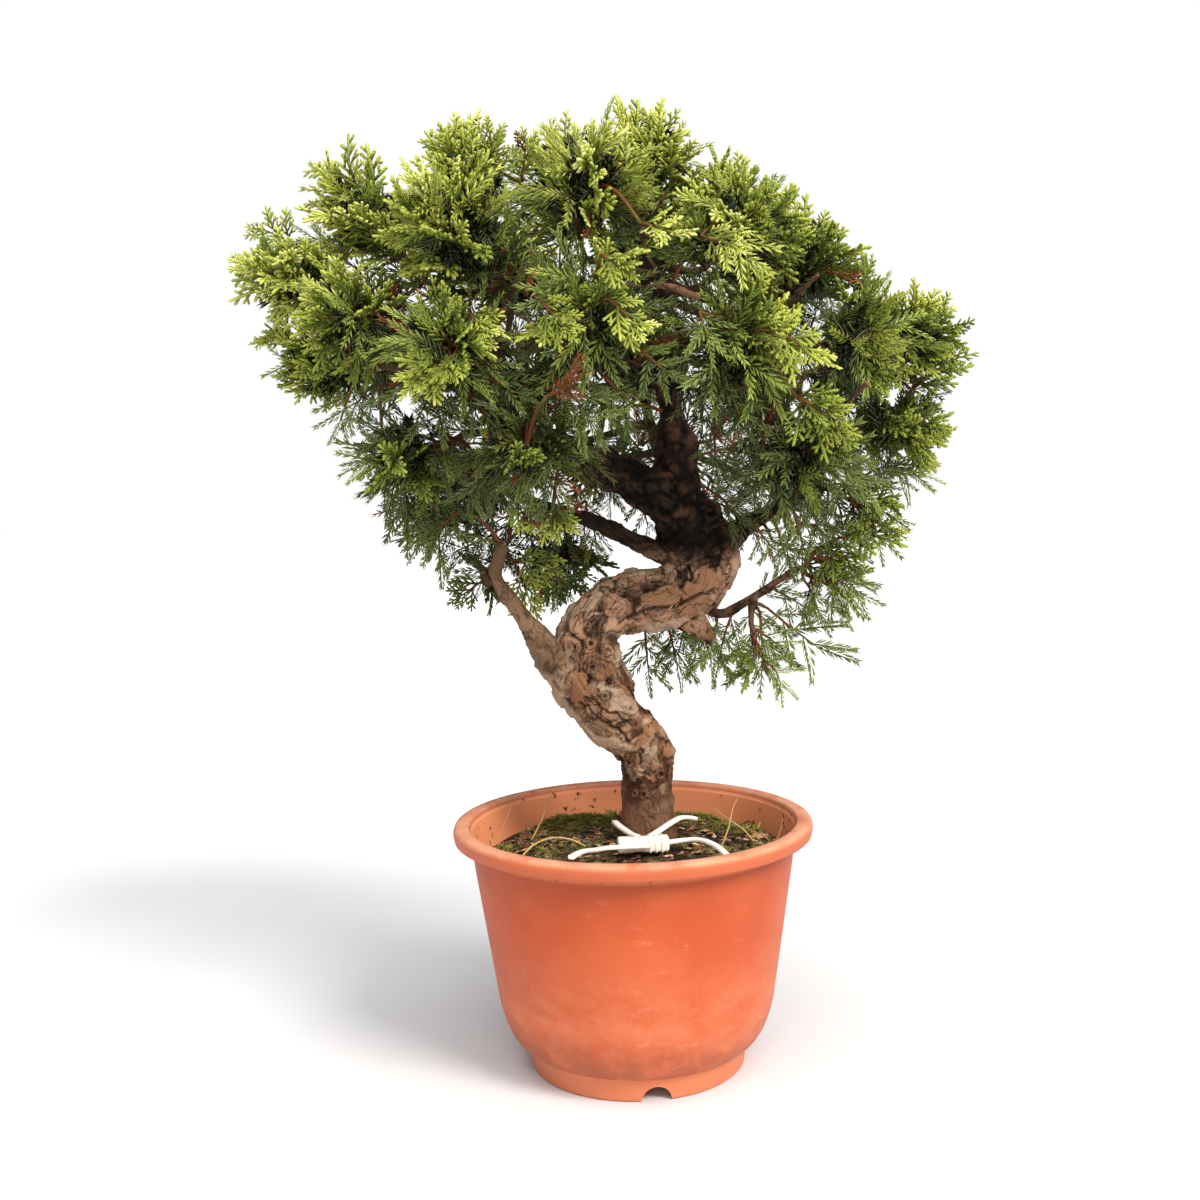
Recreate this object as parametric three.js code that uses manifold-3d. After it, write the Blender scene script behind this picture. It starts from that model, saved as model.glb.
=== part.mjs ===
// An itoigawa juniper bonsai in a round plastic nursery pot, in millimetres, +Z up.
// The origin lies on the surface that the pot stands on, under the middle of the whole tree.
// +X is to the right and +Y to the back of the side that the tree is shown from.

import * as THREE from 'three';
import { mergeVertices } from 'three/addons/utils/BufferGeometryUtils.js';
import Module from 'manifold-3d';

const wasm = await Module();
wasm.setup();

// Pot: an 18 cm pot, measured over its rim
const RIM_RADIUS = 90;
const POT_HEIGHT = 124;
const RIM_HEIGHT = 7.5;
const WALL = 1.9;
const FOOT_HEIGHT = 11.2;
const FOOT_TOP_RADIUS = 55.5;
const FOOT_BOTTOM_RADIUS = 53.8;
const FLOOR_UNDERSIDE = 6;
const POT_SEGMENTS = 44;
const NOTCH_COUNT = 4;
const NOTCH_RADIUS = 7.2;
const NOTCH_TURN = -81;
const NOTCH_CUT_LENGTH = 14;
const DRAIN_HOLE_RADIUS = 5;
const DRAIN_RING_RADIUS = 30;
const DRAIN_HOLE_COUNT = 6;
const DRAIN_CUT_LENGTH = 20;

// Soil: it rises towards the trunk
const SOIL_TOP = 111.5;
const SOIL_FALL = 6;
const SOIL_FALL_DISTANCE = 72;
const SOIL_EDGE_HEIGHT = 101;
const TO_LAY = 200;
const TRUNK_X = 8;
const TRUNK_Y = 7;
const SOIL_WAVE_HEIGHT = 0.7;
const SOIL_WAVE_X = 0.09;
const SOIL_WAVE_Y = 0.11;
const GAP = 0.4;

// Moss: its outline goes in and out five times, and it lies just clear of the soil
const CUSHION_LOBES = 5;
const CUSHION_LOBE_SHARE = 0.12;
const CUSHION_LIFT = 0.8;
const CUSHION_UNDERSIDE = 0.1;

// Tree
const TRUNK_SIDES = 12;
const TRUNK_STEPS = 28;
const LIMB_SIDES = 8;
const LIMB_STEPS = 9;
const TWIG_SIDES = 5;
const TWIG_TIP_RADIUS = 1.3;
const TWIG_BASE_RADIUS = 1.7;
const TWIG_WIDEST_RADIUS = 3;
const TWIG_WIDENING = 0.014;
const TWIG_STEP_LENGTH = 18;
const TWIG_GAP = 0.3;

// Tie
const TIE_WIDTH = 3.4;
const TIE_STEP_LENGTH = 7.5;
const CLIP_CHAMFER = 2;
const CLIP_RIB_WIDTH = 1.1;
const CLIP_RIB_COUNT = 3;
const CLIP_RIB_PITCH = 3;
const CLIP_FIRST_RIB = 3;

const degrees = Math.PI / 180;
const vector = (p) => new THREE.Vector3(...p);

const plastic = (color, roughness) =>
  new THREE.MeshStandardMaterial({ color, roughness, metalness: 0 });
const potMaterial = plastic(0xd9714a, 0.5);
const tieMaterial = plastic(0xf2f2e6, 0.45);
const soilMaterial = plastic(0x33241a, 1);
const mossMaterial = plastic(0x54661f, 1);
const barkMaterial = plastic(0x7b5138, 0.85);
const foliageMaterial = plastic(0x47702a, 0.6);
const dryMaterial = plastic(0xc9a765, 0.8);

// Solids: a closed geometry becomes a manifold for cutting and joining, and comes back
function toManifold(geometry) {
  const plain = geometry.clone();
  plain.deleteAttribute('normal');
  plain.deleteAttribute('uv');
  const merged = mergeVertices(plain, 1e-4);
  return new wasm.Manifold(new wasm.Mesh({
    numProp: 3,
    vertProperties: new Float32Array(merged.attributes.position.array),
    triVerts: new Uint32Array(merged.index.array),
  }));
}

function toGeometry(manifold) {
  const mesh = manifold.getMesh();
  const geometry = new THREE.BufferGeometry();
  geometry.setAttribute('position', new THREE.BufferAttribute(mesh.vertProperties, 3));
  geometry.setIndex(new THREE.BufferAttribute(mesh.triVerts, 1));
  geometry.computeVertexNormals();
  return geometry;
}

function named(name, geometry, material) {
  const mesh = new THREE.Mesh(geometry, material);
  mesh.name = name;
  return mesh;
}

// A round tube along a curve, as wide at each place as radiusAt says. The curve is swept
// with a section 1 mm in radius, and each ring is then drawn to its own radius.
function taperedTube(curve, steps, sides, radiusAt) {
  const section = new THREE.Shape();
  for (let i = 0; i < sides; i += 1) {
    const turn = (i / sides) * 2 * Math.PI;
    if (i === 0) section.moveTo(Math.cos(turn), Math.sin(turn));
    else section.lineTo(Math.cos(turn), Math.sin(turn));
  }
  section.closePath();
  const tube = new THREE.ExtrudeGeometry(section, { steps, extrudePath: curve });
  const rings = curve.getSpacedPoints(steps);
  const position = tube.attributes.position;
  const point = new THREE.Vector3();
  for (let i = 0; i < position.count; i += 1) {
    point.fromBufferAttribute(position, i);
    const nearest = rings.reduce((best, ring, k) =>
      (ring.distanceTo(point) < rings[best].distanceTo(point) ? k : best), 0);
    const ring = rings[nearest];
    point.sub(ring).multiplyScalar(radiusAt(nearest / steps)).add(ring);
    position.setXYZ(i, point.x, point.y, point.z);
  }
  return tube;
}

// Between the radii listed along a limb, the radius changes evenly
function radiusAlong(radii) {
  return (t) => {
    const place = t * (radii.length - 1);
    const before = Math.min(Math.floor(place), radii.length - 2);
    return THREE.MathUtils.lerp(radii[before], radii[before + 1], place - before);
  };
}

// Pot: a turned wall with a hooked rim and a foot ring, notched and drained
function potGeometry() {
  const lipInside = RIM_RADIUS - 8.5;
  const lipBottom = POT_HEIGHT - RIM_HEIGHT;
  const outline = [
    [0, FLOOR_UNDERSIDE],
    [FOOT_BOTTOM_RADIUS - 3, FLOOR_UNDERSIDE],
    [FOOT_BOTTOM_RADIUS - 2.4, 0],
    [FOOT_BOTTOM_RADIUS, 0],
    [FOOT_TOP_RADIUS, FOOT_HEIGHT],
    [56.6, 11.4],
    [60.8, 14.2],
    [64.6, 19.6],
    [67.2, 26],
    [69.2, 33.5],
    [80.4, 108],
    [81.3, 120.2],
    [RIM_RADIUS - 3.2, 120.6],
    [RIM_RADIUS - 2.6, lipBottom],
    [RIM_RADIUS - 0.8, lipBottom],
    [RIM_RADIUS, POT_HEIGHT - 4],
    [RIM_RADIUS - 1.2, POT_HEIGHT - 1.2],
    [RIM_RADIUS - 4, POT_HEIGHT],
    [lipInside + 1, POT_HEIGHT - 0.8],
    [lipInside, POT_HEIGHT - 2.6],
    [lipInside - 1.2, POT_HEIGHT - 7.5],
    ...insideWall().toReversed(),
    [0, FLOOR_UNDERSIDE + WALL],
  ];
  const turned = new THREE.LatheGeometry(
    outline.map(([r, z]) => new THREE.Vector2(r, z)), POT_SEGMENTS);
  turned.rotateX(Math.PI / 2);
  let pot = toManifold(turned);
  for (let i = 0; i < NOTCH_COUNT; i += 1) {
    const turn = (NOTCH_TURN + (i * 360) / NOTCH_COUNT) * degrees;
    const notch = new THREE.CylinderGeometry(NOTCH_RADIUS, NOTCH_RADIUS, NOTCH_CUT_LENGTH, 20);
    notch.rotateZ(Math.PI / 2);
    notch.translate(FOOT_BOTTOM_RADIUS, 0, 0);
    notch.rotateZ(turn);
    pot = pot.subtract(toManifold(notch));
  }
  for (let i = 0; i < DRAIN_HOLE_COUNT; i += 1) {
    const turn = ((i + 0.5) / DRAIN_HOLE_COUNT) * 2 * Math.PI;
    const hole = new THREE.CylinderGeometry(
      DRAIN_HOLE_RADIUS, DRAIN_HOLE_RADIUS, DRAIN_CUT_LENGTH, 12);
    hole.rotateX(Math.PI / 2);
    hole.translate(DRAIN_RING_RADIUS * Math.cos(turn), DRAIN_RING_RADIUS * Math.sin(turn),
      FLOOR_UNDERSIDE);
    pot = pot.subtract(toManifold(hole));
  }
  return toGeometry(pot);
}

// The inside of the wall from the floor up, as [radius, height] pairs
function insideWall() {
  return [
    [FOOT_TOP_RADIUS - 3, FLOOR_UNDERSIDE + WALL],
    [FOOT_TOP_RADIUS - 1.4, FOOT_HEIGHT + 1.6],
    [59.6, 15.8],
    [63, 20.8],
    [67.3, 34],
    [78.4, 107],
    [78.9, 114],
  ];
}

// Soil: it fills the pot, and its top is highest at the trunk
function soilHeight(x, y) {
  const away = Math.hypot(x - TRUNK_X, y - TRUNK_Y) / SOIL_FALL_DISTANCE;
  const waves = SOIL_WAVE_HEIGHT * Math.sin(x * SOIL_WAVE_X + 1) * Math.cos(y * SOIL_WAVE_Y + 0.4);
  return SOIL_TOP - SOIL_FALL * Math.min(1.2, away) ** 2 + waves;
}

function soilGeometry() {
  const [low, high] = insideWall().slice(-3);
  const rise = (SOIL_EDGE_HEIGHT - low[1]) / (high[1] - low[1]);
  const edge = THREE.MathUtils.lerp(low[0], high[0], rise) - GAP;
  const floor = FLOOR_UNDERSIDE + WALL + GAP;
  const wall = insideWall().slice(0, -2).map(([r, z]) => [r - GAP, Math.max(z, floor)]);
  const rings = [0.98, 0.84, 0.66, 0.48, 0.3, 0.14].map((share) => [edge * share, TO_LAY]);
  const outline = [[0, floor], ...wall, [edge, SOIL_EDGE_HEIGHT], [edge, TO_LAY],
    ...rings, [0, TO_LAY]];
  const turned = new THREE.LatheGeometry(
    outline.map(([r, z]) => new THREE.Vector2(r, z)), POT_SEGMENTS);
  turned.rotateX(Math.PI / 2);
  const position = turned.attributes.position;
  for (let i = 0; i < position.count; i += 1) {
    if (position.getZ(i) < TO_LAY) continue;
    position.setZ(i, soilHeight(position.getX(i), position.getY(i)));
  }
  return toManifold(turned);
}

// A low cushion lying on the soil: an oval dome whose underside follows the ground
function cushionGeometry(x, y, length, width, turn, height) {
  const dome = new THREE.SphereGeometry(1, 12, 6);
  dome.rotateX(Math.PI / 2);
  const position = dome.attributes.position;
  const place = new THREE.Vector3();
  for (let i = 0; i < position.count; i += 1) {
    place.fromBufferAttribute(position, i);
    const lobes = Math.sin(CUSHION_LOBES * Math.atan2(place.y, place.x) + x);
    const lumpy = 1 + CUSHION_LOBE_SHARE * lobes;
    const across = [place.x * (length / 2) * lumpy, place.y * (width / 2) * lumpy];
    const px = x + across[0] * Math.cos(turn) - across[1] * Math.sin(turn);
    const py = y + across[0] * Math.sin(turn) + across[1] * Math.cos(turn);
    const lift = place.z > 0 ? place.z * height : place.z * CUSHION_UNDERSIDE;
    position.setXYZ(i, px, py, soilHeight(px, py) + CUSHION_LIFT + lift);
  }
  return dome;
}

// Tree: the trunk and its limbs, each as points [x, y, z, radius]
const trunk = [
  [9, 9, 84, 10], [8, 8, 100, 15], [8, 7, 111, 14.6], [8, 7, 125, 13],
  [8, 6, 141, 13.2], [7, 4, 154, 13.6], [2, 1, 165, 14.5], [-9, -3, 180, 14.8],
  [-18, -6, 195, 15], [-21, -8, 208, 15.6], [-18, -6, 221, 15.2], [-8, -2, 230, 14],
  [7, 4, 232, 13.8], [22, 9, 233, 14], [34, 13, 240, 15], [39, 15, 251, 15.6],
  [37, 14, 262, 15.6], [32, 12, 271, 14],
];
const limbs = {
  left: [[37, 14, 257, 14], [28, 10, 275, 14], [15, 4, 287, 12], [1, -4, 295, 10],
    [-11, -12, 300, 8.7], [-25, -24, 306, 7], [-43, -34, 314, 5.5], [-60, -32, 326, 4.2],
    [-78, -20, 342, 3]],
  up: [[34, 12, 262, 13], [29, 10, 280, 12], [27, 8, 295, 11], [26, 7, 312, 9],
    [25, 6, 324, 7], [27, 4, 336, 4.6], [31, 0, 351, 3.6], [31, -3, 361, 3],
    [26, -7, 371, 2.5], [21, -10, 380, 2.2], [18, -14, 390, 2]],
  leader: [[28, 10, 300, 8], [24, 20, 328, 6.2], [18, 26, 358, 4.8], [14, 20, 384, 3.6],
    [10, 8, 400, 2.4]],
  leftLow: [[34, 14, 252, 9], [16, 8, 257, 5.6], [5, 4, 262, 4.7], [-6, 0, 268, 4.2],
    [-17, -4, 273, 3.8], [-34, -10, 279, 3.2], [-50, -14, 286, 2.6]],
  right: [[40, 15, 252, 11], [52, 18, 262, 6.6], [64, 20, 270, 4.8], [79, 20, 278, 4],
    [90, 20, 284, 3.4], [98, 18, 296, 2.8], [102, 14, 312, 2.3]],
  rightHanging: [[34, 14, 236, 5], [42, 11, 226, 3], [49, 7, 225, 2.5], [57, 4, 229.5, 2.3],
    [68, 2, 236.5, 2.1], [80, 3, 244, 1.9]],
  cutRight: [[22, 9, 231, 9], [31, 9, 222.5, 7.4], [38, 7.6, 216, 5.9], [42.6, 6.4, 212, 4.8]],
  back: [[36, 16, 258, 11], [32, 34, 272, 7.5], [26, 48, 290, 5.6], [18, 56, 312, 4.4],
    [12, 58, 334, 3.2], [10, 58, 350, 2.4]],
  cutLeft: [[-22, -8, 196, 9], [-35, -12, 206, 7.5], [-46, -16, 221, 6], [-55, -19, 235, 5],
    [-61, -20, 244, 4.6], [-63, -20, 250, 4], [-61, -20, 257, 3.3], [-59, -20, 264, 3.1]],
  deadSpur: [[-59, -20, 241, 3.2], [-65, -20, 245, 2.4], [-69, -20, 251, 1.4]],
};

const curveOf = (points) =>
  new THREE.CatmullRomCurve3(points.map(([x, y, z]) => new THREE.Vector3(x, y, z)));
const limbCurves = Object.fromEntries(
  Object.entries(limbs).map(([name, points]) => [name, curveOf(points)]));

// Foliage: each clump grows from the tip of a twig to its own outer end, and is
// listed as [name, limb, place along the limb, twig tip, outer end, width, depth]
const clumps = [
  ['left_far', 'left', 1, [-132, -10, 386], [-186, -15, 404], 62, 44],
  ['left_low', 'left', 0.97, [-120, 0, 352], [-178, 0, 358], 60, 40],
  ['left_upper', 'left', 0.93, [-104, 10, 404], [-150, 15, 452], 62, 46],
  ['top_left', 'left', 0.88, [-67, 0, 416], [-80, 0, 470], 52, 50],
  ['top_mid_left', 'leader', 0.96, [-29, 24, 418], [-31, 34, 474], 50, 50],
  ['top', 'up', 1, [12, -4, 416], [18, -5, 476], 58, 50],
  ['top_right', 'leader', 1, [48, 22, 404], [65, 32, 455], 56, 50],
  ['right_upper', 'up', 0.97, [78, -4, 380], [113, -6, 415], 60, 48],
  ['right_far', 'right', 1, [116, 5, 350], [172, 0, 366], 58, 44],
  ['right_mid', 'right', 0.92, [114, 18, 318], [171, 22, 312], 60, 40],
  ['right_low', 'right', 0.82, [104, 2, 284], [142, -8, 262], 54, 42],
  ['right_hanging', 'rightHanging', 1, [88, 6, 246], [120, 0, 224], 46, 40],
  ['right_hanging_low', 'rightHanging', 0.72, [62, -9, 216], [74, -13, 180], 40, 36],
  ['left_hanging', 'leftLow', 1, [-76, -2, 292], [-114, 0, 262], 50, 40],
  ['left_hanging_low', 'leftLow', 0.92, [-61, 5, 259], [-82, 17, 229], 36, 30],
  ['middle_hanging', 'leftLow', 0.72, [-30, 14, 268], [-38, 24, 228], 46, 38],
  ['back_hanging', 'back', 0.12, [32, 40, 240], [30, 48, 184], 52, 44],
  ['front_top_left', 'left', 0.9, [-56, -40, 388], [-92, -84, 428], 66, 52],
  ['front_top', 'up', 0.98, [-8, -46, 402], [-14, -92, 444], 62, 54],
  ['front_top_right', 'up', 0.9, [45, -46, 388], [64, -88, 422], 62, 52],
  ['front_left', 'left', 0.96, [-98, -42, 366], [-148, -78, 372], 56, 46],
  ['front_middle_left', 'left', 0.8, [-58, -60, 348], [-88, -116, 354], 62, 54],
  ['front_middle', 'up', 0.7, [-8, -58, 360], [-16, -122, 368], 62, 60],
  ['front_middle_right', 'up', 0.62, [42, -56, 346], [62, -116, 354], 62, 58],
  ['front_right', 'right', 0.96, [88, -38, 352], [130, -76, 356], 56, 52],
  ['front_low_left', 'left', 0.78, [-78, -44, 314], [-124, -70, 294], 56, 44],
  ['front_low_middle', 'left', 0.6, [-34, -56, 312], [-52, -104, 296], 58, 44],
  ['front_low_right', 'right', 0.5, [66, -40, 306], [94, -88, 292], 60, 48],
  ['back_top_left', 'leader', 0.82, [-46, 66, 392], [-76, 110, 424], 66, 54],
  ['back_top', 'leader', 0.9, [8, 66, 404], [14, 108, 442], 60, 54],
  ['back_top_right', 'leader', 0.78, [66, 62, 382], [98, 100, 410], 62, 52],
  ['back_left', 'leader', 0.7, [-96, 42, 358], [-148, 74, 366], 60, 50],
  ['back_middle_left', 'back', 0.9, [-48, 72, 344], [-76, 128, 348], 66, 56],
  ['back_middle', 'back', 1, [8, 72, 356], [8, 134, 364], 62, 60],
  ['back_middle_right', 'back', 0.92, [62, 68, 338], [88, 122, 344], 62, 56],
  ['back_right', 'right', 0.9, [102, 50, 346], [148, 76, 352], 54, 50],
  ['back_low_left', 'back', 0.7, [-62, 46, 300], [-106, 72, 284], 58, 46],
  ['back_low', 'back', 0.56, [-8, 72, 300], [-14, 118, 284], 60, 48],
  ['back_low_right', 'back', 0.6, [66, 64, 292], [102, 92, 274], 58, 46],
];

// A clump is an egg with its narrow end at the twig. Its depth lies as upright as it can.
function clumpMesh([name, , , from, to, width, depth]) {
  const [start, end] = [vector(from), vector(to)];
  const along = end.clone().sub(start);
  const length = along.length();
  along.normalize();
  const egg = new THREE.SphereGeometry(1, 8, 6);
  const position = egg.attributes.position;
  for (let i = 0; i < position.count; i += 1) {
    const y = position.getY(i);
    const swell = 1 + 0.22 * y;
    position.setXYZ(i, position.getX(i) * (width / 2) * swell, y * (length / 2),
      position.getZ(i) * (depth / 2) * swell);
  }
  const level = new THREE.Vector3(0, 0, 1).cross(along);
  if (level.length() < 0.3) level.set(1, 0, 0);
  level.addScaledVector(along, -level.dot(along)).normalize();
  const upright = level.clone().cross(along);
  const mesh = named(`foliage_${name}`, egg, foliageMaterial);
  mesh.quaternion.setFromRotationMatrix(new THREE.Matrix4().makeBasis(level, along, upright));
  mesh.position.copy(start).add(end).multiplyScalar(0.5);
  return mesh;
}

// The twig of a clump leaves its limb and ends just short of the clump, facing along it
function twigManifold([, limb, place, from, to]) {
  const start = limbCurves[limb].getPoint(place);
  const end = vector(from);
  const along = vector(to).sub(end).normalize();
  end.addScaledVector(along, -TWIG_GAP);
  const reach = start.distanceTo(end);
  const out = end.clone().addScaledVector(along, -0.45 * reach);
  const first = start.clone().lerp(end, 0.3);
  const curve = new THREE.CubicBezierCurve3(start, first, out, end);
  const base = Math.min(TWIG_WIDEST_RADIUS, TWIG_BASE_RADIUS + reach * TWIG_WIDENING);
  const steps = Math.max(4, Math.round(reach / TWIG_STEP_LENGTH));
  return toManifold(taperedTube(curve, steps, TWIG_SIDES,
    (t) => THREE.MathUtils.lerp(base, TWIG_TIP_RADIUS, t)));
}

function trunkManifold(thicker) {
  return toManifold(taperedTube(curveOf(trunk), TRUNK_STEPS, TRUNK_SIDES,
    radiusAlong(trunk.map((point) => point[3] + thicker))));
}

function treeManifold() {
  let tree = trunkManifold(0);
  for (const [name, points] of Object.entries(limbs)) {
    const radii = radiusAlong(points.map((point) => point[3]));
    tree = tree.add(toManifold(taperedTube(limbCurves[name], LIMB_STEPS, LIMB_SIDES, radii)));
  }
  for (const clump of clumps) tree = tree.add(twigManifold(clump));
  return tree;
}

// The trunk's room in the soil: the trunk itself, a little thicker and a little lower
function rootRoom() {
  const room = trunkManifold(GAP);
  return room.add(room.translate([0, 0, -GAP]));
}

// Tie: a ribbed clip before the trunk, two arms beside the trunk and two loose tails
const clipPlace = { x: 5, y: -25, z: 116.6, length: 25, width: 8, height: 7.4, turn: 6 };

function clipGeometry() {
  const { x, y, z, length, width, height, turn } = clipPlace;
  const outline = new THREE.Shape();
  const [half, chamfer] = [width / 2, CLIP_CHAMFER];
  outline.moveTo(-half + chamfer, -height / 2);
  outline.lineTo(half - chamfer, -height / 2);
  outline.lineTo(half, -height / 2 + chamfer);
  outline.lineTo(half, height / 2 - chamfer);
  outline.lineTo(half - chamfer, height / 2);
  outline.lineTo(-half + chamfer, height / 2);
  outline.lineTo(-half, height / 2 - chamfer);
  outline.lineTo(-half, -height / 2 + chamfer);
  outline.closePath();
  const body = new THREE.ExtrudeGeometry(outline, { depth: length, bevelEnabled: false });
  body.translate(0, 0, -length / 2);
  let clip = toManifold(body);
  for (let i = 0; i < CLIP_RIB_COUNT; i += 1) {
    const rib = new THREE.BoxGeometry(width + 1, height + 1, CLIP_RIB_WIDTH);
    rib.translate(0, 0, CLIP_FIRST_RIB + i * CLIP_RIB_PITCH);
    clip = clip.add(toManifold(rib));
  }
  const geometry = toGeometry(clip);
  geometry.rotateX(Math.PI / 2);
  geometry.rotateZ(Math.PI / 2 + turn * degrees);
  geometry.translate(x, y, z);
  return geometry;
}

function cordMesh(name, points, radius) {
  const curve = curveOf(points);
  const steps = Math.max(6, Math.round(curve.getLength() / TIE_STEP_LENGTH));
  return named(name, taperedTube(curve, steps, 8, () => radius), tieMaterial);
}

const tieRoutes = {
  tie_arm_left: [[3, -19.8, 118.6], [-0.4, -13.6, 118.4], [-3.2, -8, 118.9],
    [-6.2, -3, 119.8], [-8.6, 4, 120.2], [-9, 10.5, 118.9]],
  tie_arm_right: [[8, -19.4, 118.6], [10.8, -15.8, 119.2], [14.4, -11.4, 120.3],
    [19.5, -4.8, 121.8], [24.3, 2.6, 122.2], [28.5, 8, 121], [33, 12, 119.2]],
  tie_tail_left: [[9, -31.2, 117.2], [-2, -33.4, 117.6], [-12, -40, 119], [-18, -52, 121.4],
    [-23, -66, 124.6], [-28, -82, 126.4]],
  tie_tail_right: [[18.6, -23.6, 117], [25, -23.4, 118], [32, -27, 118.6], [38.5, -36, 118.4],
    [43, -48, 117.4], [45.5, -60, 116]],
};

// Grass: dry blades stand in the soil, and one loops over
const grassBlades = {
  grass_left_outer: [[-70, 12, 0], [-67, 15, 10], [-61, 20, 24]],
  grass_left_inner: [[-53, 22, 0], [-48, 26, 8], [-41, 32, 24]],
  grass_right_tall: [[44, -8, 0], [48, -4, 9], [51, 2, 18], [54, 6, 22]],
  grass_right_bent: [[62, -2, 0], [56, -1, 7], [48, 2, 12], [41, 6, 16]],
  grass_right_outer: [[72, 6, 0], [75, 9, 5], [77, 12, 13]],
};
const GRASS_RADIUS = 0.45;
const STEM_RADIUS = 0.7;
const SPRIG_RADII = [0.7, 2.6, 0.8];

function standing(points) {
  return points.map(([x, y, rise]) => [x, y, soilHeight(x, y) + GAP + rise]);
}

function build() {
  const plant = new THREE.Group();
  plant.add(named('pot', potGeometry(), potMaterial));
  plant.add(named('soil', toGeometry(soilGeometry().subtract(rootRoom())), soilMaterial));
  plant.add(named('trunk_and_branches', toGeometry(treeManifold()), barkMaterial));

  const foliage = new THREE.Group();
  for (const clump of clumps) foliage.add(clumpMesh(clump));
  plant.add(foliage);

  const ground = new THREE.Group();
  const moss = {
    moss_back_left: [-30, 42, 46, 30, -0.5, 3.4],
    moss_left: [-66, -2, 20, 10, 1.5, 2.6],
    moss_back_right: [34, 46, 34, 22, -0.6, 3],
    moss_right: [48, 20, 26, 12, 0.2, 2.2],
  };
  for (const [name, [x, y, length, width, turn, height]] of Object.entries(moss)) {
    ground.add(named(name, cushionGeometry(x, y, length, width, turn, height), mossMaterial));
  }
  ground.add(named('bark_chip', cushionGeometry(66, 14, 13, 8, 0.9, 1.6), barkMaterial));
  for (const [name, points] of Object.entries(grassBlades)) {
    const curve = curveOf(standing(points));
    ground.add(named(name, taperedTube(curve, 6, 6,
      (t) => GRASS_RADIUS * (1 - 0.5 * t)), dryMaterial));
  }
  const stem = standing([[-55, -9, 0.5], [-50, -1, 5], [-42, 4, 6.5], [-32, 0, 4.5],
    [-24, -5, 0.5]]);
  ground.add(named('dry_stem', taperedTube(curveOf(stem), 10, 6, () => STEM_RADIUS), dryMaterial));
  const sprig = standing([[-57, 9, 0.2], [-56, 9, 4], [-54, 9, 9]]);
  ground.add(named('dry_sprig', taperedTube(curveOf(sprig), 4, 6,
    radiusAlong(SPRIG_RADII)), barkMaterial));
  plant.add(ground);

  const tie = new THREE.Group();
  tie.add(named('tie_clip', clipGeometry(), tieMaterial));
  for (const [name, points] of Object.entries(tieRoutes)) {
    tie.add(cordMesh(name, points, TIE_WIDTH / 2));
  }
  plant.add(tie);
  return plant;
}

// Every place above is measured from the pot's axis. The crown leans to the left and the
// back, so the whole plant is moved until the origin lies under the middle of its box.
function centred(plant) {
  const box = new THREE.Box3().setFromObject(plant, true);
  const middle = box.getCenter(new THREE.Vector3());
  plant.position.set(-middle.x, -middle.y, 0);
  return plant;
}

export default centred(build());
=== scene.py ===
# %% [markdown]
# # An itoigawa juniper bonsai in its nursery pot
#
# The real tree is half a metre high: a bent old trunk with flaking bark, a broad crown of
# scale leaves and short needles, and a moulded plastic pot with soil, moss, dry grass and
# a white tie. The imported model gives each piece its place and size, so it is loaded
# first. Then every piece gets a finished surface.

# %% Load the imported model
import itertools
import math

import bpy
import numpy as np
from mathutils import Matrix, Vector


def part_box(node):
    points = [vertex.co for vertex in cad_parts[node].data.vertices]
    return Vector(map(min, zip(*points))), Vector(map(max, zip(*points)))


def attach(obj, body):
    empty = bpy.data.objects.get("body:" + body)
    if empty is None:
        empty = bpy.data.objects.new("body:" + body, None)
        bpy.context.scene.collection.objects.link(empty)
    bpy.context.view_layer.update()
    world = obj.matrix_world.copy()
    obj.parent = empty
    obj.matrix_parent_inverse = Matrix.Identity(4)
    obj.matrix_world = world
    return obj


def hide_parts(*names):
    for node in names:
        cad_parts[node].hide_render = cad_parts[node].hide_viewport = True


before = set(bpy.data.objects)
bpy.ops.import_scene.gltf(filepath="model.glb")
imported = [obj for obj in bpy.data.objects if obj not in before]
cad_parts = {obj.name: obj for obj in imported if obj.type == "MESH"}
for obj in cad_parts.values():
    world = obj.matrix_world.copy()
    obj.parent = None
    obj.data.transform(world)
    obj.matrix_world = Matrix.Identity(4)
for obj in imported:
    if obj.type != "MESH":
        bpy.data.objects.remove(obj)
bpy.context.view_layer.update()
print("pieces in the packed model:", len(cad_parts))

# %% [markdown]
# ## One measure for everything
#
# A tree is easier to think of in millimetres from the middle of its pot. One function
# turns such places into the frame's metres.

# %% Millimetres from the pot's axis
MM = 0.001
pot_low, pot_high = (np.array(corner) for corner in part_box("pot"))
POT_AXIS = (pot_low + pot_high) / 2 * [1, 1, 0]
RIM_RADIUS = (pot_high[0] - pot_low[0]) / 2 / MM
POT_HEIGHT = pot_high[2] / MM


def place(points):
    """Places in millimetres from the pot's axis, times 0.001 and moved by the axis's place."""
    return np.asarray(points, float) * MM + POT_AXIS


print("rim radius", round(RIM_RADIUS, 1), "mm, pot height", round(POT_HEIGHT, 1), "mm")

# %% [markdown]
# ## Camera
#
# The tree is seen from the front, from a little above the pot, through a lens a bit longer
# than normal: its focal length is 1414 to a picture width of 1200. The camera leans a
# little, so it is turned about its own line of sight first.

# %% Camera at the viewing angle
PICTURE_WIDTH = 1200
FOCAL_LENGTH = 1414
CAMERA_PLACE = (0.0, -699.0, 297.0)
LOOKS_DOWN = 0.090
TURNS_LEFT = 0.019
LEANS = -0.027


def shown(name, data):
    """An object with this data, put into the scene."""
    thing = bpy.data.objects.new(name, data)
    bpy.context.scene.collection.objects.link(thing)
    return thing


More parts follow.
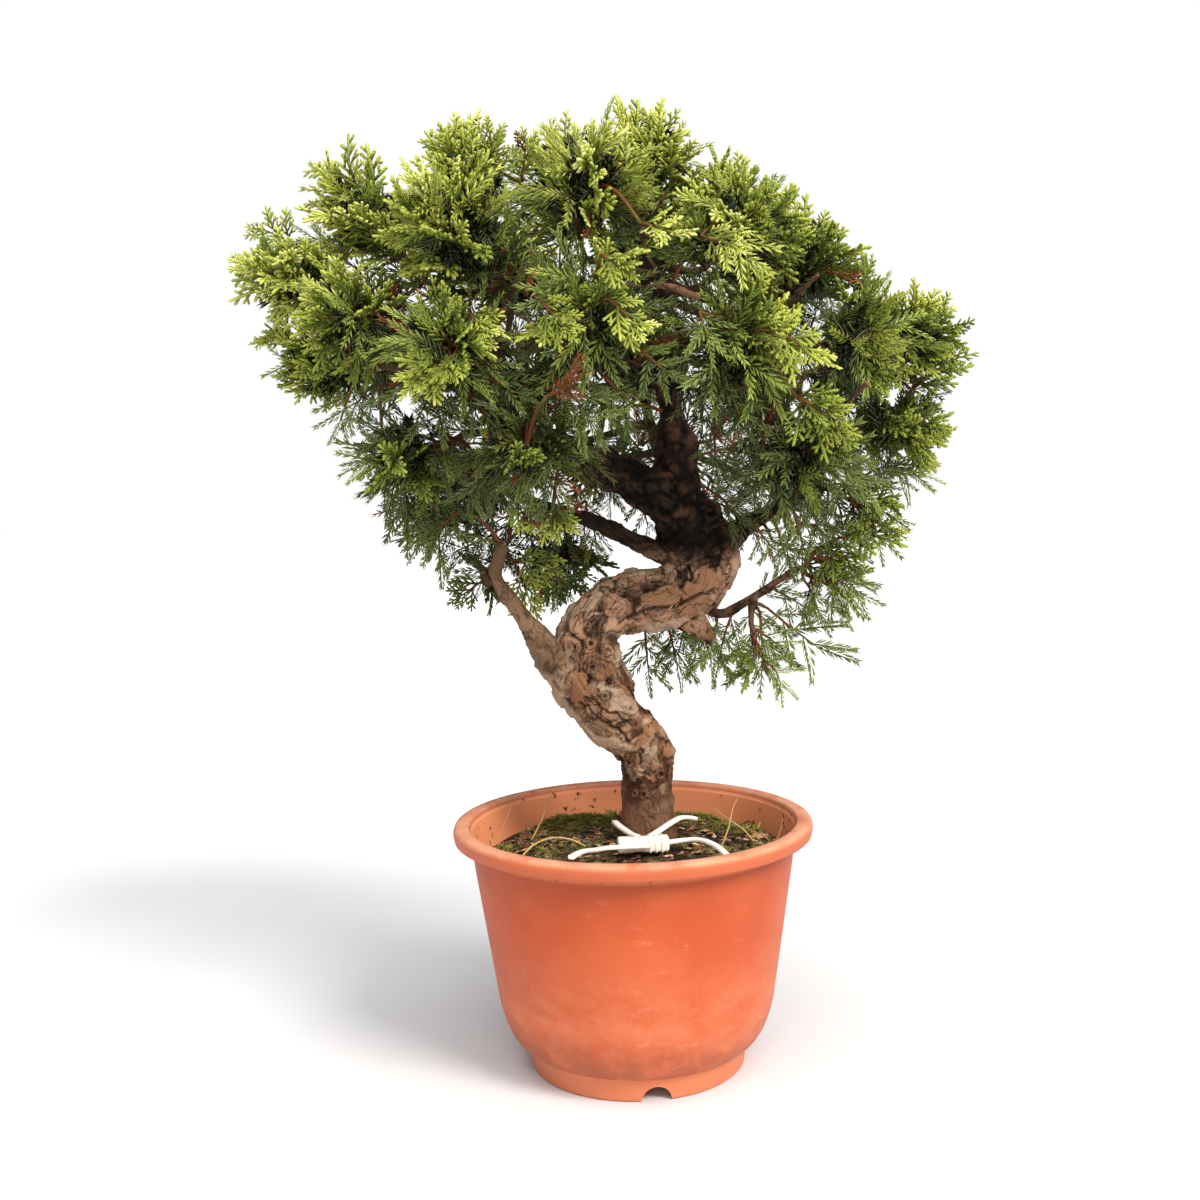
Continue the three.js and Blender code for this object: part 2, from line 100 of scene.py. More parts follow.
lens = bpy.data.cameras.new("viewing_lens")
lens.lens = lens.sensor_width * FOCAL_LENGTH / PICTURE_WIDTH
camera = shown("viewing_camera", lens)
camera.matrix_world = (Matrix.Translation(place(CAMERA_PLACE))
                       @ Matrix.Rotation(TURNS_LEFT, 4, "Z")
                       @ Matrix.Rotation(math.pi / 2 - LOOKS_DOWN, 4, "X")
                       @ Matrix.Rotation(LEANS, 4, "Z"))
bpy.context.scene.camera = camera
print("lens", round(lens.lens, 2), "mm")

# %% [markdown]
# ## Shapes as arrays
#
# A shape is a small bundle: points, faces as arrays of corner numbers, and the values that
# a material reads at each point. Shapes are joined by shifting the corner numbers, and
# copied by turning and moving all the points at once.


# %% A shape, and how shapes are joined and copied
def shape_of(points, faces, values=None, smooth=True):
    """Points (n, 3), a list of face arrays (m, 3 or 4) and values (n,) or (n, 3) by name."""
    return {"points": np.asarray(points, float), "faces": [(f, smooth) for f in faces],
            "values": values or {}}


def joined(shapes):
    """All points in a row; each shape's corner numbers go up by the points before it."""
    before = np.cumsum([0] + [len(s["points"]) for s in shapes])
    return {"points": np.concatenate([s["points"] for s in shapes]),
            "faces": [(f + start, smooth) for s, start in zip(shapes, before)
                      for f, smooth in s["faces"]],
            "values": {key: np.concatenate([s["values"][key] for s in shapes])
                       for key in shapes[0]["values"]}}


def copies(shape, axes, places, values=(), bends=None):
    """Copy i is the shape's points bent by bends_i times x squared, turned by the rows of
    axes_i and moved to places_i. A value is the shape's own times the copy's."""
    points, values = shape["points"], dict(values)
    bends = np.zeros((len(axes), 3)) if bends is None else bends
    bent = points[None] + bends[:, None, :] * points[None, :, :1] ** 2
    moved = np.einsum("nvk,nkj->nvj", bent, axes) + places[:, None]
    start = np.arange(len(axes))[:, None, None] * len(points)
    held = {}
    for key, own in shape["values"].items():
        factor = values.get(key, np.ones(len(axes))).reshape((-1,) + (1,) * own.ndim)
        held[key] = (own[None] * factor).reshape((-1,) + own.shape[1:])
    return {"points": moved.reshape(-1, 3), "values": held,
            "faces": [((f[None] + start).reshape(-1, f.shape[1]), smooth)
                      for f, smooth in shape["faces"]]}


# %% Putting a shape into a mesh
def mesh_of(name, shape):
    """A mesh with the shape's points, faces and values, in the frame's metres."""
    mesh = bpy.data.meshes.new(name)
    corners = np.concatenate([f.ravel() for f, _ in shape["faces"]]).astype(np.int32)
    sizes = np.concatenate([np.full(len(f), f.shape[1]) for f, _ in shape["faces"]])
    smooth = np.concatenate([np.full(len(f), s) for f, s in shape["faces"]])
    mesh.vertices.add(len(shape["points"]))
    mesh.vertices.foreach_set("co", place(shape["points"]).astype(np.float32).ravel())
    mesh.loops.add(len(corners))
    mesh.loops.foreach_set("vertex_index", corners)
    mesh.polygons.add(len(sizes))
    mesh.polygons.foreach_set("loop_start", (np.cumsum(sizes) - sizes).astype(np.int32))
    mesh.polygons.foreach_set("use_smooth", smooth)
    mesh.update(calc_edges=True)
    for key, values in shape["values"].items():
        kind, field = ("FLOAT_VECTOR", "vector") if values.ndim == 2 else ("FLOAT", "value")
        held = mesh.attributes.new(key, kind, "POINT")
        held.data.foreach_set(field, values.astype(np.float32).ravel())
    return mesh


def piece_of(name, mesh, material, slot, *stands_for):
    """A piece of the plant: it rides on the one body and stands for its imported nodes."""
    mesh = mesh_of(name, mesh) if isinstance(mesh, dict) else mesh
    piece = shown(name, mesh)
    mesh.materials.clear()
    mesh.materials.append(material)
    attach(piece, "root")
    if stands_for:
        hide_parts(*stands_for)
    mesh.calc_loop_triangles()
    made[name] = len(mesh.loop_triangles)
    return piece


made = {}

# %% [markdown]
# ## Tubes along a path
#
# A trunk, a twig, a grass blade and a plastic tie are all tubes along a path. The path is
# a Catmull-Rom curve, which passes through every point it is given. Each ring of the tube
# stands square to the path, and turns as little as it can from the ring before it.


# %% Paths
def distance_along(path):
    """How far each point lies along the path: the lengths of its steps, added up."""
    return np.concatenate([[0.0], np.cumsum(np.linalg.norm(np.diff(path, axis=0), axis=1))])


def smooth_path(points, count):
    """A centripetal Catmull-Rom curve: between two points it is a cubic whose slopes come
    from their neighbours, each step timed by the root of its length. Evenly spaced."""
    points = np.asarray(points, float)
    knots = np.vstack([2 * points[0] - points[1], points, 2 * points[-1] - points[-2]])
    gaps = np.maximum(np.linalg.norm(np.diff(knots, axis=0), axis=1) ** 0.5, 1e-4)[:, None]
    p0, p1, p2, p3 = knots[:-3], knots[1:-2], knots[2:-1], knots[3:]
    g0, g1, g2 = gaps[:-2], gaps[1:-1], gaps[2:]
    leave = g1 * ((p1 - p0) / g0 - (p2 - p0) / (g0 + g1) + (p2 - p1) / g1)
    reach = g1 * ((p2 - p1) / g1 - (p3 - p1) / (g1 + g2) + (p3 - p2) / g2)
    u = np.linspace(0, 1, 40, endpoint=False)[None, :, None]
    p1, p2, leave, reach = (a[:, None] for a in (p1, p2, leave, reach))
    curve = ((2 * u**3 - 3 * u**2 + 1) * p1 + (u**3 - 2 * u**2 + u) * leave
             + (3 * u**2 - 2 * u**3) * p2 + (u**3 - u**2) * reach)
    curve = np.vstack([curve.reshape(-1, 3), points[-1:]])
    along = distance_along(curve)
    places = np.linspace(0, along[-1], count)
    return np.column_stack([np.interp(places, along, axis) for axis in curve.T])


def unit(vectors):
    """Each vector over its own length."""
    return vectors / np.maximum(np.linalg.norm(vectors, axis=-1, keepdims=True), 1e-9)


def rings_along(path):
    """Tangent, side and up at each point: the side is the last one made square to here."""
    tangent = unit(np.gradient(path, axis=0))
    side = [unit(np.cross(tangent[0], np.eye(3)[np.argmin(np.abs(tangent[0]))]))]
    for ahead in tangent[1:]:
        side.append(unit(side[-1] - ahead * (side[-1] @ ahead)))
    side = np.array(side)
    return tangent, side, np.cross(tangent, side)


# %% Tubes
def turns(count):
    """A full turn in radians, in equal steps."""
    return np.arange(count) / count * 2 * np.pi


def quads_of(rings, sides):
    """Four-cornered faces between each ring and the next."""
    i, j = np.meshgrid(np.arange(rings - 1), np.arange(sides), indexing="ij")
    k = (j + 1) % sides
    return np.stack([i * sides + j, i * sides + k, (i + 1) * sides + k,
                     (i + 1) * sides + j], -1).reshape(-1, 4)


def tube_faces(rings, sides):
    """Quads between neighbouring rings, and a fan of triangles round each end's middle."""
    j, k = np.arange(sides), (np.arange(sides) + 1) % sides
    last = (rings - 1) * sides
    start = np.stack([np.full(sides, rings * sides), k, j], -1)
    end = np.stack([np.full(sides, rings * sides + 1), last + j, last + k], -1)
    return [quads_of(rings, sides), np.vstack([start, end])]


def tube(path, radius, sides, width=1.0, dome=0.0):
    """Ring i is path_i + radius_i (width cos a side_i + sin a up_i), for a turn a round
    the ring. Each end's middle is pushed out by dome times its radius."""
    tangent, side, up = rings_along(path)
    cos, sin = np.cos(turns(sides)), np.sin(turns(sides))
    radius = np.reshape(radius, (-1, 1, 1))
    rings = path[:, None] + radius * (width * cos[None, :, None] * side[:, None]
                                      + sin[None, :, None] * up[:, None])
    ends = path[[0, -1]] + tangent[[0, -1]] * dome * radius[[0, -1], 0] * [[-1], [1]]
    along = distance_along(path)
    grain = np.stack([np.repeat(along, sides), np.tile(cos, len(path)),
                      np.tile(sin, len(path))], -1)
    return shape_of(np.vstack([rings.reshape(-1, 3), ends]), tube_faces(len(path), sides),
                    {"grain": np.vstack([grain, [[0, 0, 0], [along[-1], 0, 0]]])})


# %% [markdown]
# ## Colours and shaders
#
# Colours are picked as sRGB hex values and turned to the linear values that a renderer
# adds up. One small function adds a node. A finish is then built up as a painter would:
# coat over coat, each of one colour and each held back by masks.


# %% Colours, nodes and finishes
def colour(code):
    """sRGB to linear: c / 12.92 for a dark c, else ((c + 0.055) / 1.055) to the power 2.4."""
    parts = [int(code[i:i + 2], 16) / 255 for i in (1, 3, 5)]
    return tuple(c / 12.92 if c <= 0.04045 else ((c + 0.055) / 1.055) ** 2.4
                 for c in parts) + (1.0,)


def add_node(kind, settings=(), inputs=(), stops=()):
    """Adds a node to the tree in hand and gives its outputs. Settings are its own, inputs
    take a value, a hex colour or a socket, and stops are a ramp's places and colours."""
    added = tree.nodes.new("ShaderNode" + kind)
    for name, value in dict(settings).items():
        setattr(added, name, value)
    for key, value in dict(inputs).items():
        if isinstance(value, bpy.types.NodeSocket):
            tree.links.new(value, added.inputs[key])
        else:
            added.inputs[key].default_value = colour(value) if isinstance(value, str) else value
    for number, (position, code) in enumerate(stops):
        held = added.color_ramp.elements
        stop = held[number] if number < 2 else held.new(position)
        stop.position = position
        stop.color = colour(code)
    return added.outputs


def new_finish(name, **constants):
    """A material with the constants on its shader's sockets. Its tree is now in hand."""
    global tree, shader
    material = bpy.data.materials.new(name)
    material.use_nodes = True
    tree = material.node_tree
    shader = tree.nodes["Principled BSDF"]
    for socket, value in constants.items():
        shader.inputs[socket.replace("_", " ")].default_value = value
    return material


# %% What a surface reads, and spots
def here():
    """Where a point of the surface is: the piece's own coordinates, in metres."""
    return add_node("TexCoord")["Object"]


def stored(*names):
    """The values that the mesh holds under these names."""
    return [add_node("Attribute", {"attribute_name": name})["Fac"] for name in names]


def spots(size, detail=2.0, stretch=(1, 1, 1), vector=None, rough=0.5):
    """Cloudy noise with features of this size in millimetres, stretched along the axes."""
    scale = 1 / size if vector else 1 / (size * MM)
    mapped = add_node("Mapping", inputs={"Vector": vector or here(),
                                         "Scale": tuple(scale / s for s in stretch)})
    return add_node("TexNoise", inputs={"Vector": mapped[0], "Scale": 1.0, "Detail": detail,
                                        "Roughness": rough})["Fac"]


# %% Masks, coats and relief
def masked(*masks):
    """The masks' product. A mask is a number, a value, or (value, low, high, to_low,
    to_high): the value between low and high, drawn out smoothly from to_low to to_high,
    which are 0 and 1 if they aren't given."""
    whole = None
    for mask in masks:
        if isinstance(mask, tuple):
            sockets = ("Value", "From Min", "From Max", "To Min", "To Max")
            mask = add_node("MapRange", {"interpolation_type": "SMOOTHSTEP"},
                            dict(zip(sockets, mask)))[0]
        whole = mask if whole is None else add_node(
            "Math", {"operation": "MULTIPLY"}, {0: whole, 1: mask})[0]
    return whole


def coated(below, *coats):
    """Coats over a ground colour. Each is its colour and the masks that hold it back."""
    for code, *masks in coats:
        below = add_node("Mix", {"data_type": "RGBA"}, {0: masked(*masks), 6: below, 7: code})[2]
    return below


def less(value):
    """One less the value."""
    return add_node("Math", {"operation": "SUBTRACT"}, {0: 1.0, 1: value})[0]


def painted(base):
    """The colour goes to the shader."""
    tree.links.new(base, shader.inputs["Base Color"])


def relief(height, depth, strength=1.0):
    """Bump of this depth in millimetres, over any that the shader has already."""
    inputs = {"Height": height, "Distance": depth * MM, "Strength": strength}
    for link in shader.inputs["Normal"].links:
        inputs["Normal"] = link.from_socket
    tree.links.new(add_node("Bump", inputs=inputs)[0], shader.inputs["Normal"])


# %% [markdown]
# ## The white tie
#
# A soft white tie stands at the foot of the trunk: a ribbed head with two arms that reach
# past the trunk, and two tails. They are real cords, so they come right after the camera,
# on the imported model's own routes, and each one's length is printed. The tie is vinyl,
# moulded in one smooth strip: glossy, off-white, and warm where light passes its edges.

# %% Finish of the tie
tie_finish = new_finish("moulded_white_vinyl", Roughness=0.32, IOR=1.52,
                        Subsurface_Weight=0.12, Subsurface_Scale=0.0015,
                        Subsurface_Radius=(1.0, 0.8, 0.55))
painted(coated("#fffdf0", ("#ece6cc", (spots(3.0, 3), 0.48, 0.75, 0, 0.55)),
               ("#8d7a5c", (spots(0.9, 2), 0.66, 0.74, 0, 0.45))))
relief(spots(0.7, 2), 0.05, 0.4)

# %% The tie's routes, in millimetres from the pot's axis
TIE_WIDTH = 3.4
TIE_THICKNESS = 2.2
TIE_RING_PITCH = 1.1
TIE_SIDES = 16
tie_routes = {
    "tie_arm_left": [[3, -19.8, 118.6], [-0.4, -13.6, 118.4], [-3.2, -8, 118.9],
                     [-6.2, -3, 119.8], [-8.6, 4, 120.2], [-9, 10.5, 118.9]],
    "tie_arm_right": [[8, -19.4, 118.6], [10.8, -15.8, 119.2], [14.4, -11.4, 120.3],
                      [19.5, -4.8, 121.8], [24.3, 2.6, 122.2], [28.5, 8, 121],
                      [33, 12, 119.2]],
    "tie_tail_left": [[9, -31.2, 117.2], [-2, -33.4, 117.6], [-12, -40, 119],
                      [-18, -52, 121.4], [-23, -66, 124.6], [-28, -82, 126.4]],
    "tie_tail_right": [[17.0, -23.8, 116.8], [25, -23.4, 117.6], [32, -27, 118.6],
                       [38.5, -36, 118.4], [43, -48, 117.4], [45.5, -60, 116]],
}


def squared_circle(sides, power):
    """cos a and sin a, each to this power with its sign kept: a circle with corners."""
    ring = np.array([np.cos(turns(sides)), np.sin(turns(sides))])
    return np.sign(ring) * np.abs(ring) ** power


def rounded_end(distance, reach, least):
    """A quarter circle over the last stretch: the root of 1 - (1 - distance / reach)^2."""
    return np.sqrt(np.clip(1 - (1 - np.clip(distance / reach, 0, 1)) ** 2, least, 1))


def strip(path):
    """A flat band with round edges along a path: in each ring the width lies as level as
    it can, and the outline is a squared circle."""
    level = unit(np.cross(unit(np.gradient(path, axis=0)), [0.0, 0.0, 1.0]))
    up = np.cross(level, unit(np.gradient(path, axis=0)))
    across, rise = squared_circle(TIE_SIDES, 0.7)
    along = distance_along(path)
    close = rounded_end(np.minimum(along, along[-1] - along), 0.5, 0.25)[:, None, None]
    rings = path[:, None] + close * (
        across[None, :, None] * TIE_WIDTH / 2 * level[:, None]
        - rise[None, :, None] * TIE_THICKNESS / 2 * up[:, None])
    return shape_of(np.vstack([rings.reshape(-1, 3), path[:1], path[-1:]]),
                    tube_faces(len(path), TIE_SIDES))


for node, route in tie_routes.items():
    length = distance_along(smooth_path(route, 200))[-1]
    path = smooth_path(route, max(20, round(length / TIE_RING_PITCH)))
    piece = piece_of("white_" + node, strip(path), tie_finish, "tie_plastic", node)
    print(node, round(length, 1), "mm long")

# %% [markdown]
# The head of the tie is a short block with three raised ribs. It is a rounded bar whose
# width and height swell at each rib, so one lofted shape makes it, ribs and all.

# %% Head of the tie
HEAD_PLACE = (5, -25, 116.6)
HEAD_LENGTH = 25
HEAD_WIDTH = 8
HEAD_HEIGHT = 7.4
HEAD_TURN = math.radians(6)
RIBS_AT = (3.0, 6.0, 9.0)
RIB_SWELL = 0.55


def head_shape():
    """Ring at x: a squared circle of the head's width and height, plus the ribs' swell
    exp(-((x - rib) / 0.62) to the power 4), and drawn in over the last millimetre."""
    x = np.linspace(-HEAD_LENGTH / 2, HEAD_LENGTH / 2, 110)
    swell = sum(RIB_SWELL * np.exp(-((x - at) / 0.62) ** 4) for at in RIBS_AT)
    shrink = rounded_end(HEAD_LENGTH / 2 - np.abs(x), 1.2, 0.0) * 0.28 + 0.72
    waist = 1 - 0.10 * np.exp(-((x + 3) / 3.5) ** 2)
    across, rise = squared_circle(32, 0.45)
    y = ((HEAD_WIDTH / 2 * waist + swell) * shrink)[:, None] * across
    z = ((HEAD_HEIGHT / 2 * waist + swell) * shrink)[:, None] * rise
    rings = np.stack([x[:, None] + 0 * y, y, z], -1).reshape(-1, 3)
    points = np.vstack([rings, [[x[0], 0, 0], [x[-1], 0, 0]]])
    cos, sin = math.cos(HEAD_TURN), math.sin(HEAD_TURN)
    turned_round = points @ [[cos, sin, 0], [-sin, cos, 0], [0, 0, 1]]
    return shape_of(turned_round + HEAD_PLACE, tube_faces(len(x), 32))


piece_of("white_tie_head", head_shape(), tie_finish, "tie_plastic", "tie_clip")
print("tie pieces:", list(made))

# %% [markdown]
# ## Random, but the same each time
#
# Nature's patterns come from two kinds of noise. Smooth noise blends random heights at
# whole-numbered corners. Cell noise scatters one point in each unit box and measures how
# far the nearest two are, which gives plates with cracks between them. The random numbers
# are made from the corner's own place, so they never change.


# %% Smooth noise and cell noise
def chance(corners, seed):
    """A number from 0 to 1 from whole-numbered corners: large odd factors, bits mixed."""
    n = corners.astype(np.int64) @ np.array([374761393, 668265263, 2147483629])
    n = n + seed * 1274126177
    n = (n ^ (n >> 13)) * 1274126177 & 0xFFFFFFFF
    return ((n ^ (n >> 16)) & 0xFFFFFF) / 0xFFFFFF


def noise(points, seed=0):
    """Random heights at the corners, blended by 3t^2 - 2t^3 in each direction, -1 to 1."""
    cell = np.floor(points).astype(np.int64)
    t = points - cell
    t = t * t * (3 - 2 * t)
    total = np.zeros(points.shape[:-1])
    for corner in itertools.product((0, 1), repeat=3):
        weight = np.prod(np.where(np.array(corner) == 1, t, 1 - t), axis=-1)
        total += weight * chance(cell + np.array(corner), seed)
    return total * 2 - 1


def rough_noise(points, seed=0, octaves=4):
    """Noise, plus half as much at twice the fineness, and so on."""
    return sum(noise(points * 2**k, seed + k) / 2**k for k in range(octaves))


def cells(points, seed=0):
    """Distance to the nearest and the second nearest scattered point, and a number from 0
    to 1 that belongs to the nearest one."""
    cell = np.floor(points).astype(np.int64)
    nearest, second = np.full((2, *points.shape[:-1]), 9.0)
    owner = np.zeros(points.shape[:-1])
    for step in itertools.product((-1, 0, 1), repeat=3):
        corner = cell + np.array(step)
        spot = corner + np.stack([chance(corner, seed + k) for k in (1, 2, 3)], -1)
        far = np.linalg.norm(points - spot, axis=-1)
        second = np.minimum(second, np.maximum(far, nearest))
        owner = np.where(far < nearest, chance(corner, seed + 4), owner)
        nearest = np.minimum(nearest, far)
    return nearest, second, owner


def ease(value, low, high):
    """0 below low, 1 above high, and 3t^2 - 2t^3 between."""
    t = np.clip((value - low) / (high - low), 0, 1)
    return t * t * (3 - 2 * t)


print("noise spans", noise(np.random.default_rng(1).uniform(0, 9, (500, 3))).round(2)[:3])

# %% [markdown]
# ## The pot
#
# A nursery pot is injection moulded from terracotta-coloured polypropylene. Its wall is
# turned: one outline swung round the axis, with small fillets where the mould has them.
# The notches in the foot and the drain holes are cut with cylinders, as the mould's pins do.

# %% The pot's outline
FOOT_TOP_RADIUS = 55.5
FOOT_BOTTOM_RADIUS = 53.8
FOOT_HEIGHT = 11.2
FLOOR_UNDERSIDE = 6
WALL = 1.9
POT_COLUMNS = 192
LIP_BOTTOM = POT_HEIGHT - 7.5

# Each corner is [radius, height, how far its fillet reaches along its edges]
pot_outline = np.array([
    [0, FLOOR_UNDERSIDE, 0], [50.6, FLOOR_UNDERSIDE, 0.4], [51.2, 0, 0.3],
    [FOOT_BOTTOM_RADIUS, 0, 0.6], [FOOT_TOP_RADIUS, FOOT_HEIGHT, 0.5],
    [57.4, 11.8, 0.8], [60.8, 14.2, 2.0], [64.6, 19.6, 3.0], [67.2, 26, 3.2],
    [69.2, 33.5, 3.6], [80.4, 108, 8], [81.3, 120.2, 0.4],
    [RIM_RADIUS - 3.2, 120.6, 0.4], [RIM_RADIUS - 2.6, LIP_BOTTOM, 0.25],
    [RIM_RADIUS - 0.7, LIP_BOTTOM, 0.5], [RIM_RADIUS, POT_HEIGHT - 3.6, 1.2],
    [RIM_RADIUS - 0.9, POT_HEIGHT - 0.8, 1.2], [RIM_RADIUS - 3.6, POT_HEIGHT, 1.4],
    [RIM_RADIUS - 7.6, POT_HEIGHT - 0.6, 0.8], [RIM_RADIUS - 8.6, POT_HEIGHT - 2.0, 0.7],
    [RIM_RADIUS - 9.1, POT_HEIGHT - 3.6, 0.3], [RIM_RADIUS - 9.6, POT_HEIGHT - 4.0, 0.3],
    [78.4, 107, 6], [67.3, 34, 3], [63, 20.8, 2.4], [59.6, 15.8, 1.6],
    [54.1, 12.8, 1.2], [52.5, FLOOR_UNDERSIDE + WALL, 0.5], [0, FLOOR_UNDERSIDE + WALL, 0],
])


def filleted(outline):
    """Each corner becomes a short curve: from a point before it to a point after it, a
    blend (1-t)^2 before + 2t(1-t) corner + t^2 after."""
    corner, cut = outline[1:-1, :2], outline[1:-1, 2:]
    before = corner + unit(outline[:-2, :2] - corner) * cut
    after = corner + unit(outline[2:, :2] - corner) * cut
    t = np.linspace(0, 1, 5)[None, :, None]
    curves = ((1 - t) ** 2 * before[:, None] + 2 * t * (1 - t) * corner[:, None]
              + t**2 * after[:, None])
    return np.vstack([outline[:1, :2], curves.reshape(-1, 2), outline[-1:, :2]])


def turned(profile, columns):
    """Point (i, j) is the profile's i-th radius at turn j, at the profile's height. The
    first and last points lie on the axis, and are the middles of two fans."""
    turn = turns(columns)
    rings = np.stack([profile[1:-1, :1] * np.cos(turn), profile[1:-1, :1] * np.sin(turn),
                      np.repeat(profile[1:-1, 1:], columns, axis=1)], -1)
    ends = profile[[0, -1], 1][:, None] * [[0, 0, 1]]
    return shape_of(np.vstack([rings.reshape(-1, 3), ends]),
                    tube_faces(len(profile) - 2, columns))


pot_shape = turned(filleted(pot_outline), POT_COLUMNS)
print("pot outline points:", len(filleted(pot_outline)))

# %% [markdown]
# The finish is moulded polypropylene: evenly coloured through, with a satin skin from the
# mould, pale scuffs where pots were stacked, faint flow marks, and dust that gathers on the
# foot and inside the mouth. The wall is lighter towards the bottom, in blotches. Painted
# shade darkens the wall under the rim. A painted highlight, partly scuff wear, lightens the
# rim's top, and the inner wall is painted lighter as painted light. The eye reads the
# scuffs as handling.

# %% Finish of the pot
pot_finish = new_finish("moulded_terracotta_polypropylene", IOR=1.49,
                        Specular_IOR_Level=0.28)
height = add_node("SeparateXYZ", inputs={"Vector": here()})[2]
inside, = stored("inside")
crumbs = add_node("TexVoronoi", inputs={"Vector": here(), "Scale": 1 / (6 * MM)})["Distance"]
uneven = add_node("Math", {"operation": "SUBTRACT"}, {0: spots(1.6, 2), 1: 0.5})[0]
ragged = add_node("Math", {"operation": "ADD"}, {0: crumbs, 1: uneven})[0]
painted(coated(
    "#bb4f27", ("#c55a31", (spots(46, 4), 0.35, 0.65)),
    ("#ecab88", (spots(0.9, 4, (1, 1, 40), rough=0.65), 0.54, 0.80),
     (height, 0.085, 0.030, 0.03, 0.28)),
    ("#ee9c76", (height, 0.090, 0.028, 0.0, 0.34),
     (spots(20, 5, (1, 1, 0.6), rough=0.72), 0.18, 0.74)),
    ("#eeb697", (spots(16, 5, (1, 1, 0.35), rough=0.7), 0.56, 0.8, 0, 0.4),
     (spots(70, 2), 0.42, 0.62)),
    ("#f3cdb4", (spots(1.3, 2), 0.72, 0.78, 0, 0.25)),
    # Painted shade: the wall darkens from 88 mm up to the rim, where the rim's overhang would
    # shade it.
    ("#97462a", (height, 0.088, 0.114, 0, 0.30)),
    ("#8d4b2f", (height, 0.040, 0.017, 0, 0.62), (spots(15, 5, rough=0.65), 0.22, 0.62)),
    ("#dc835c", (height, 0.0124, 0.0112, 0, 0.80)),
    ("#dc835c", (height, 0.1160, 0.1172, 0, 0.30)),
    # Partly scuff wear, partly a painted highlight: the rim's top is lighter in patches.
    ("#f8bf9c", (height, 0.1205, 0.1238, 0, 0.55), (spots(14, 4, rough=0.7), 0.20, 0.60)),
    ("#b5654a", inside, (spots(18, 5, rough=0.7), 0.4, 0.75, 0, 0.25)),
    # Painted light: the inner wall is made much lighter, as if it were well lit.
    ("#ffa475", inside, 0.88),
    ("#3d2314", (ragged, 0.24, 0.16), (spots(22, 2), 0.45, 0.52), inside, 0.95)))
gloss = add_node("MapRange", inputs={"Value": spots(8, 4), "To Min": 0.40, "To Max": 0.60})
tree.links.new(gloss[0], shader.inputs["Roughness"])
relief(spots(14, 3, (1, 1, 3)), 0.35, 0.35)
relief(spots(0.6, 2), 0.03, 0.35)

# %% Cutting the notches and the drain holes
NOTCH_RADIUS = 7.2
NOTCH_TURN = math.radians(-81)
DRAIN_HOLE_RADIUS = 5
DRAIN_RING_RADIUS = 30


def pin(middle, along, radius, length):
    """A plain cylinder that only cuts: a tube between two ends."""
    path = middle + np.outer([-0.5, 0, 0.5], along) * length
    return tube(path, radius * np.ones(3), 40) | {"values": {}}


def level_way(turn):
    """The level direction at this turn round the axis."""
    return np.array([math.cos(turn), math.sin(turn), 0.0])


def cut(shape, cutter):
    """The shape less the cutter, worked out by a Boolean modifier and kept as a mesh."""
    whole, knife = (shown("cutting", mesh_of("cutting", s)) for s in (shape, cutter))
    boolean = whole.modifiers.new("cut", "BOOLEAN")
    boolean.operation = "DIFFERENCE"
    boolean.solver = "EXACT"
    boolean.object = knife
    ready = whole.evaluated_get(bpy.context.evaluated_depsgraph_get())
    mesh = bpy.data.meshes.new_from_object(ready)
    for thing in (whole, knife):
        bpy.data.objects.remove(thing)
    return mesh


def corners_of(mesh):
    """The mesh's corners in millimetres from the pot's axis."""
    found = np.empty(len(mesh.vertices) * 3, np.float32)
    mesh.vertices.foreach_get("co", found)
    return (found.reshape(-1, 3) - POT_AXIS) / MM


notch_pins = [pin(level_way(NOTCH_TURN + turn) * FOOT_BOTTOM_RADIUS, level_way(NOTCH_TURN + turn),
                  NOTCH_RADIUS, 14) for turn in turns(4)]
drain_pins = [pin(level_way(turn + math.pi / 6) * DRAIN_RING_RADIUS + [0, 0, 6], [0, 0, 1],
                  DRAIN_HOLE_RADIUS, 20) for turn in turns(6)]
pot_mesh = cut(pot_shape, joined(notch_pins + drain_pins))
corners = corners_of(pot_mesh)
inner_radius = np.interp(corners[:, 2], [7.9, 15, 34, 107, 115, 124],
                         [53, 59, 67.3, 78.4, 80.4, 80.4])
off_wall = np.abs(np.hypot(corners[:, 0], corners[:, 1]) - inner_radius)
held = pot_mesh.attributes.new("inside", "FLOAT", "POINT")
held.data.foreach_set("value", ((off_wall < 0.9) & (corners[:, 2] > 16)).astype(np.float32))
pot_mesh.polygons.foreach_set("use_smooth", np.ones(len(pot_mesh.polygons), bool))
pot_mesh.set_sharp_from_angle(angle=math.radians(38))
piece_of("terracotta_pot", pot_mesh, pot_finish, "pot_plastic", "pot")
print("pot triangles:", made["terracotta_pot"])

# %% [markdown]
# ## The soil
#
# Damp potting soil is a crust of crumbs, bark bits and fallen needles, higher round the
# trunk. Its top is a height above each point of a round grid: a square one pushed out to
# a circle, so that its cells stay about equal from the middle to the edge.

# %% Height of the soil
SOIL_TOP = 111.5
SOIL_FALL = 6
SOIL_FALL_DISTANCE = 72
TRUNK_FOOT = np.array([8.0, 7.0])
SOIL_EDGE_RADIUS = 78.1
SOIL_CELLS = 132


def from_trunk(x, y):
    """How far x, y is from the middle of the trunk's foot, seen from above."""
    return np.hypot(x - TRUNK_FOOT[0], y - TRUNK_FOOT[1])


def ground(x, y):
    """The packed soil's own height: it falls with the square of the distance from the
    trunk, with a slow wave added."""
    away = from_trunk(x, y) / SOIL_FALL_DISTANCE
    waves = 0.7 * np.sin(x * 0.09 + 1) * np.cos(y * 0.11 + 0.4)
    return SOIL_TOP - SOIL_FALL * np.minimum(1.2, away) ** 2 + waves


def in_plane(x, y):
    """The places x, y at height 0."""
    return np.stack([x, y, np.zeros_like(x)], -1)


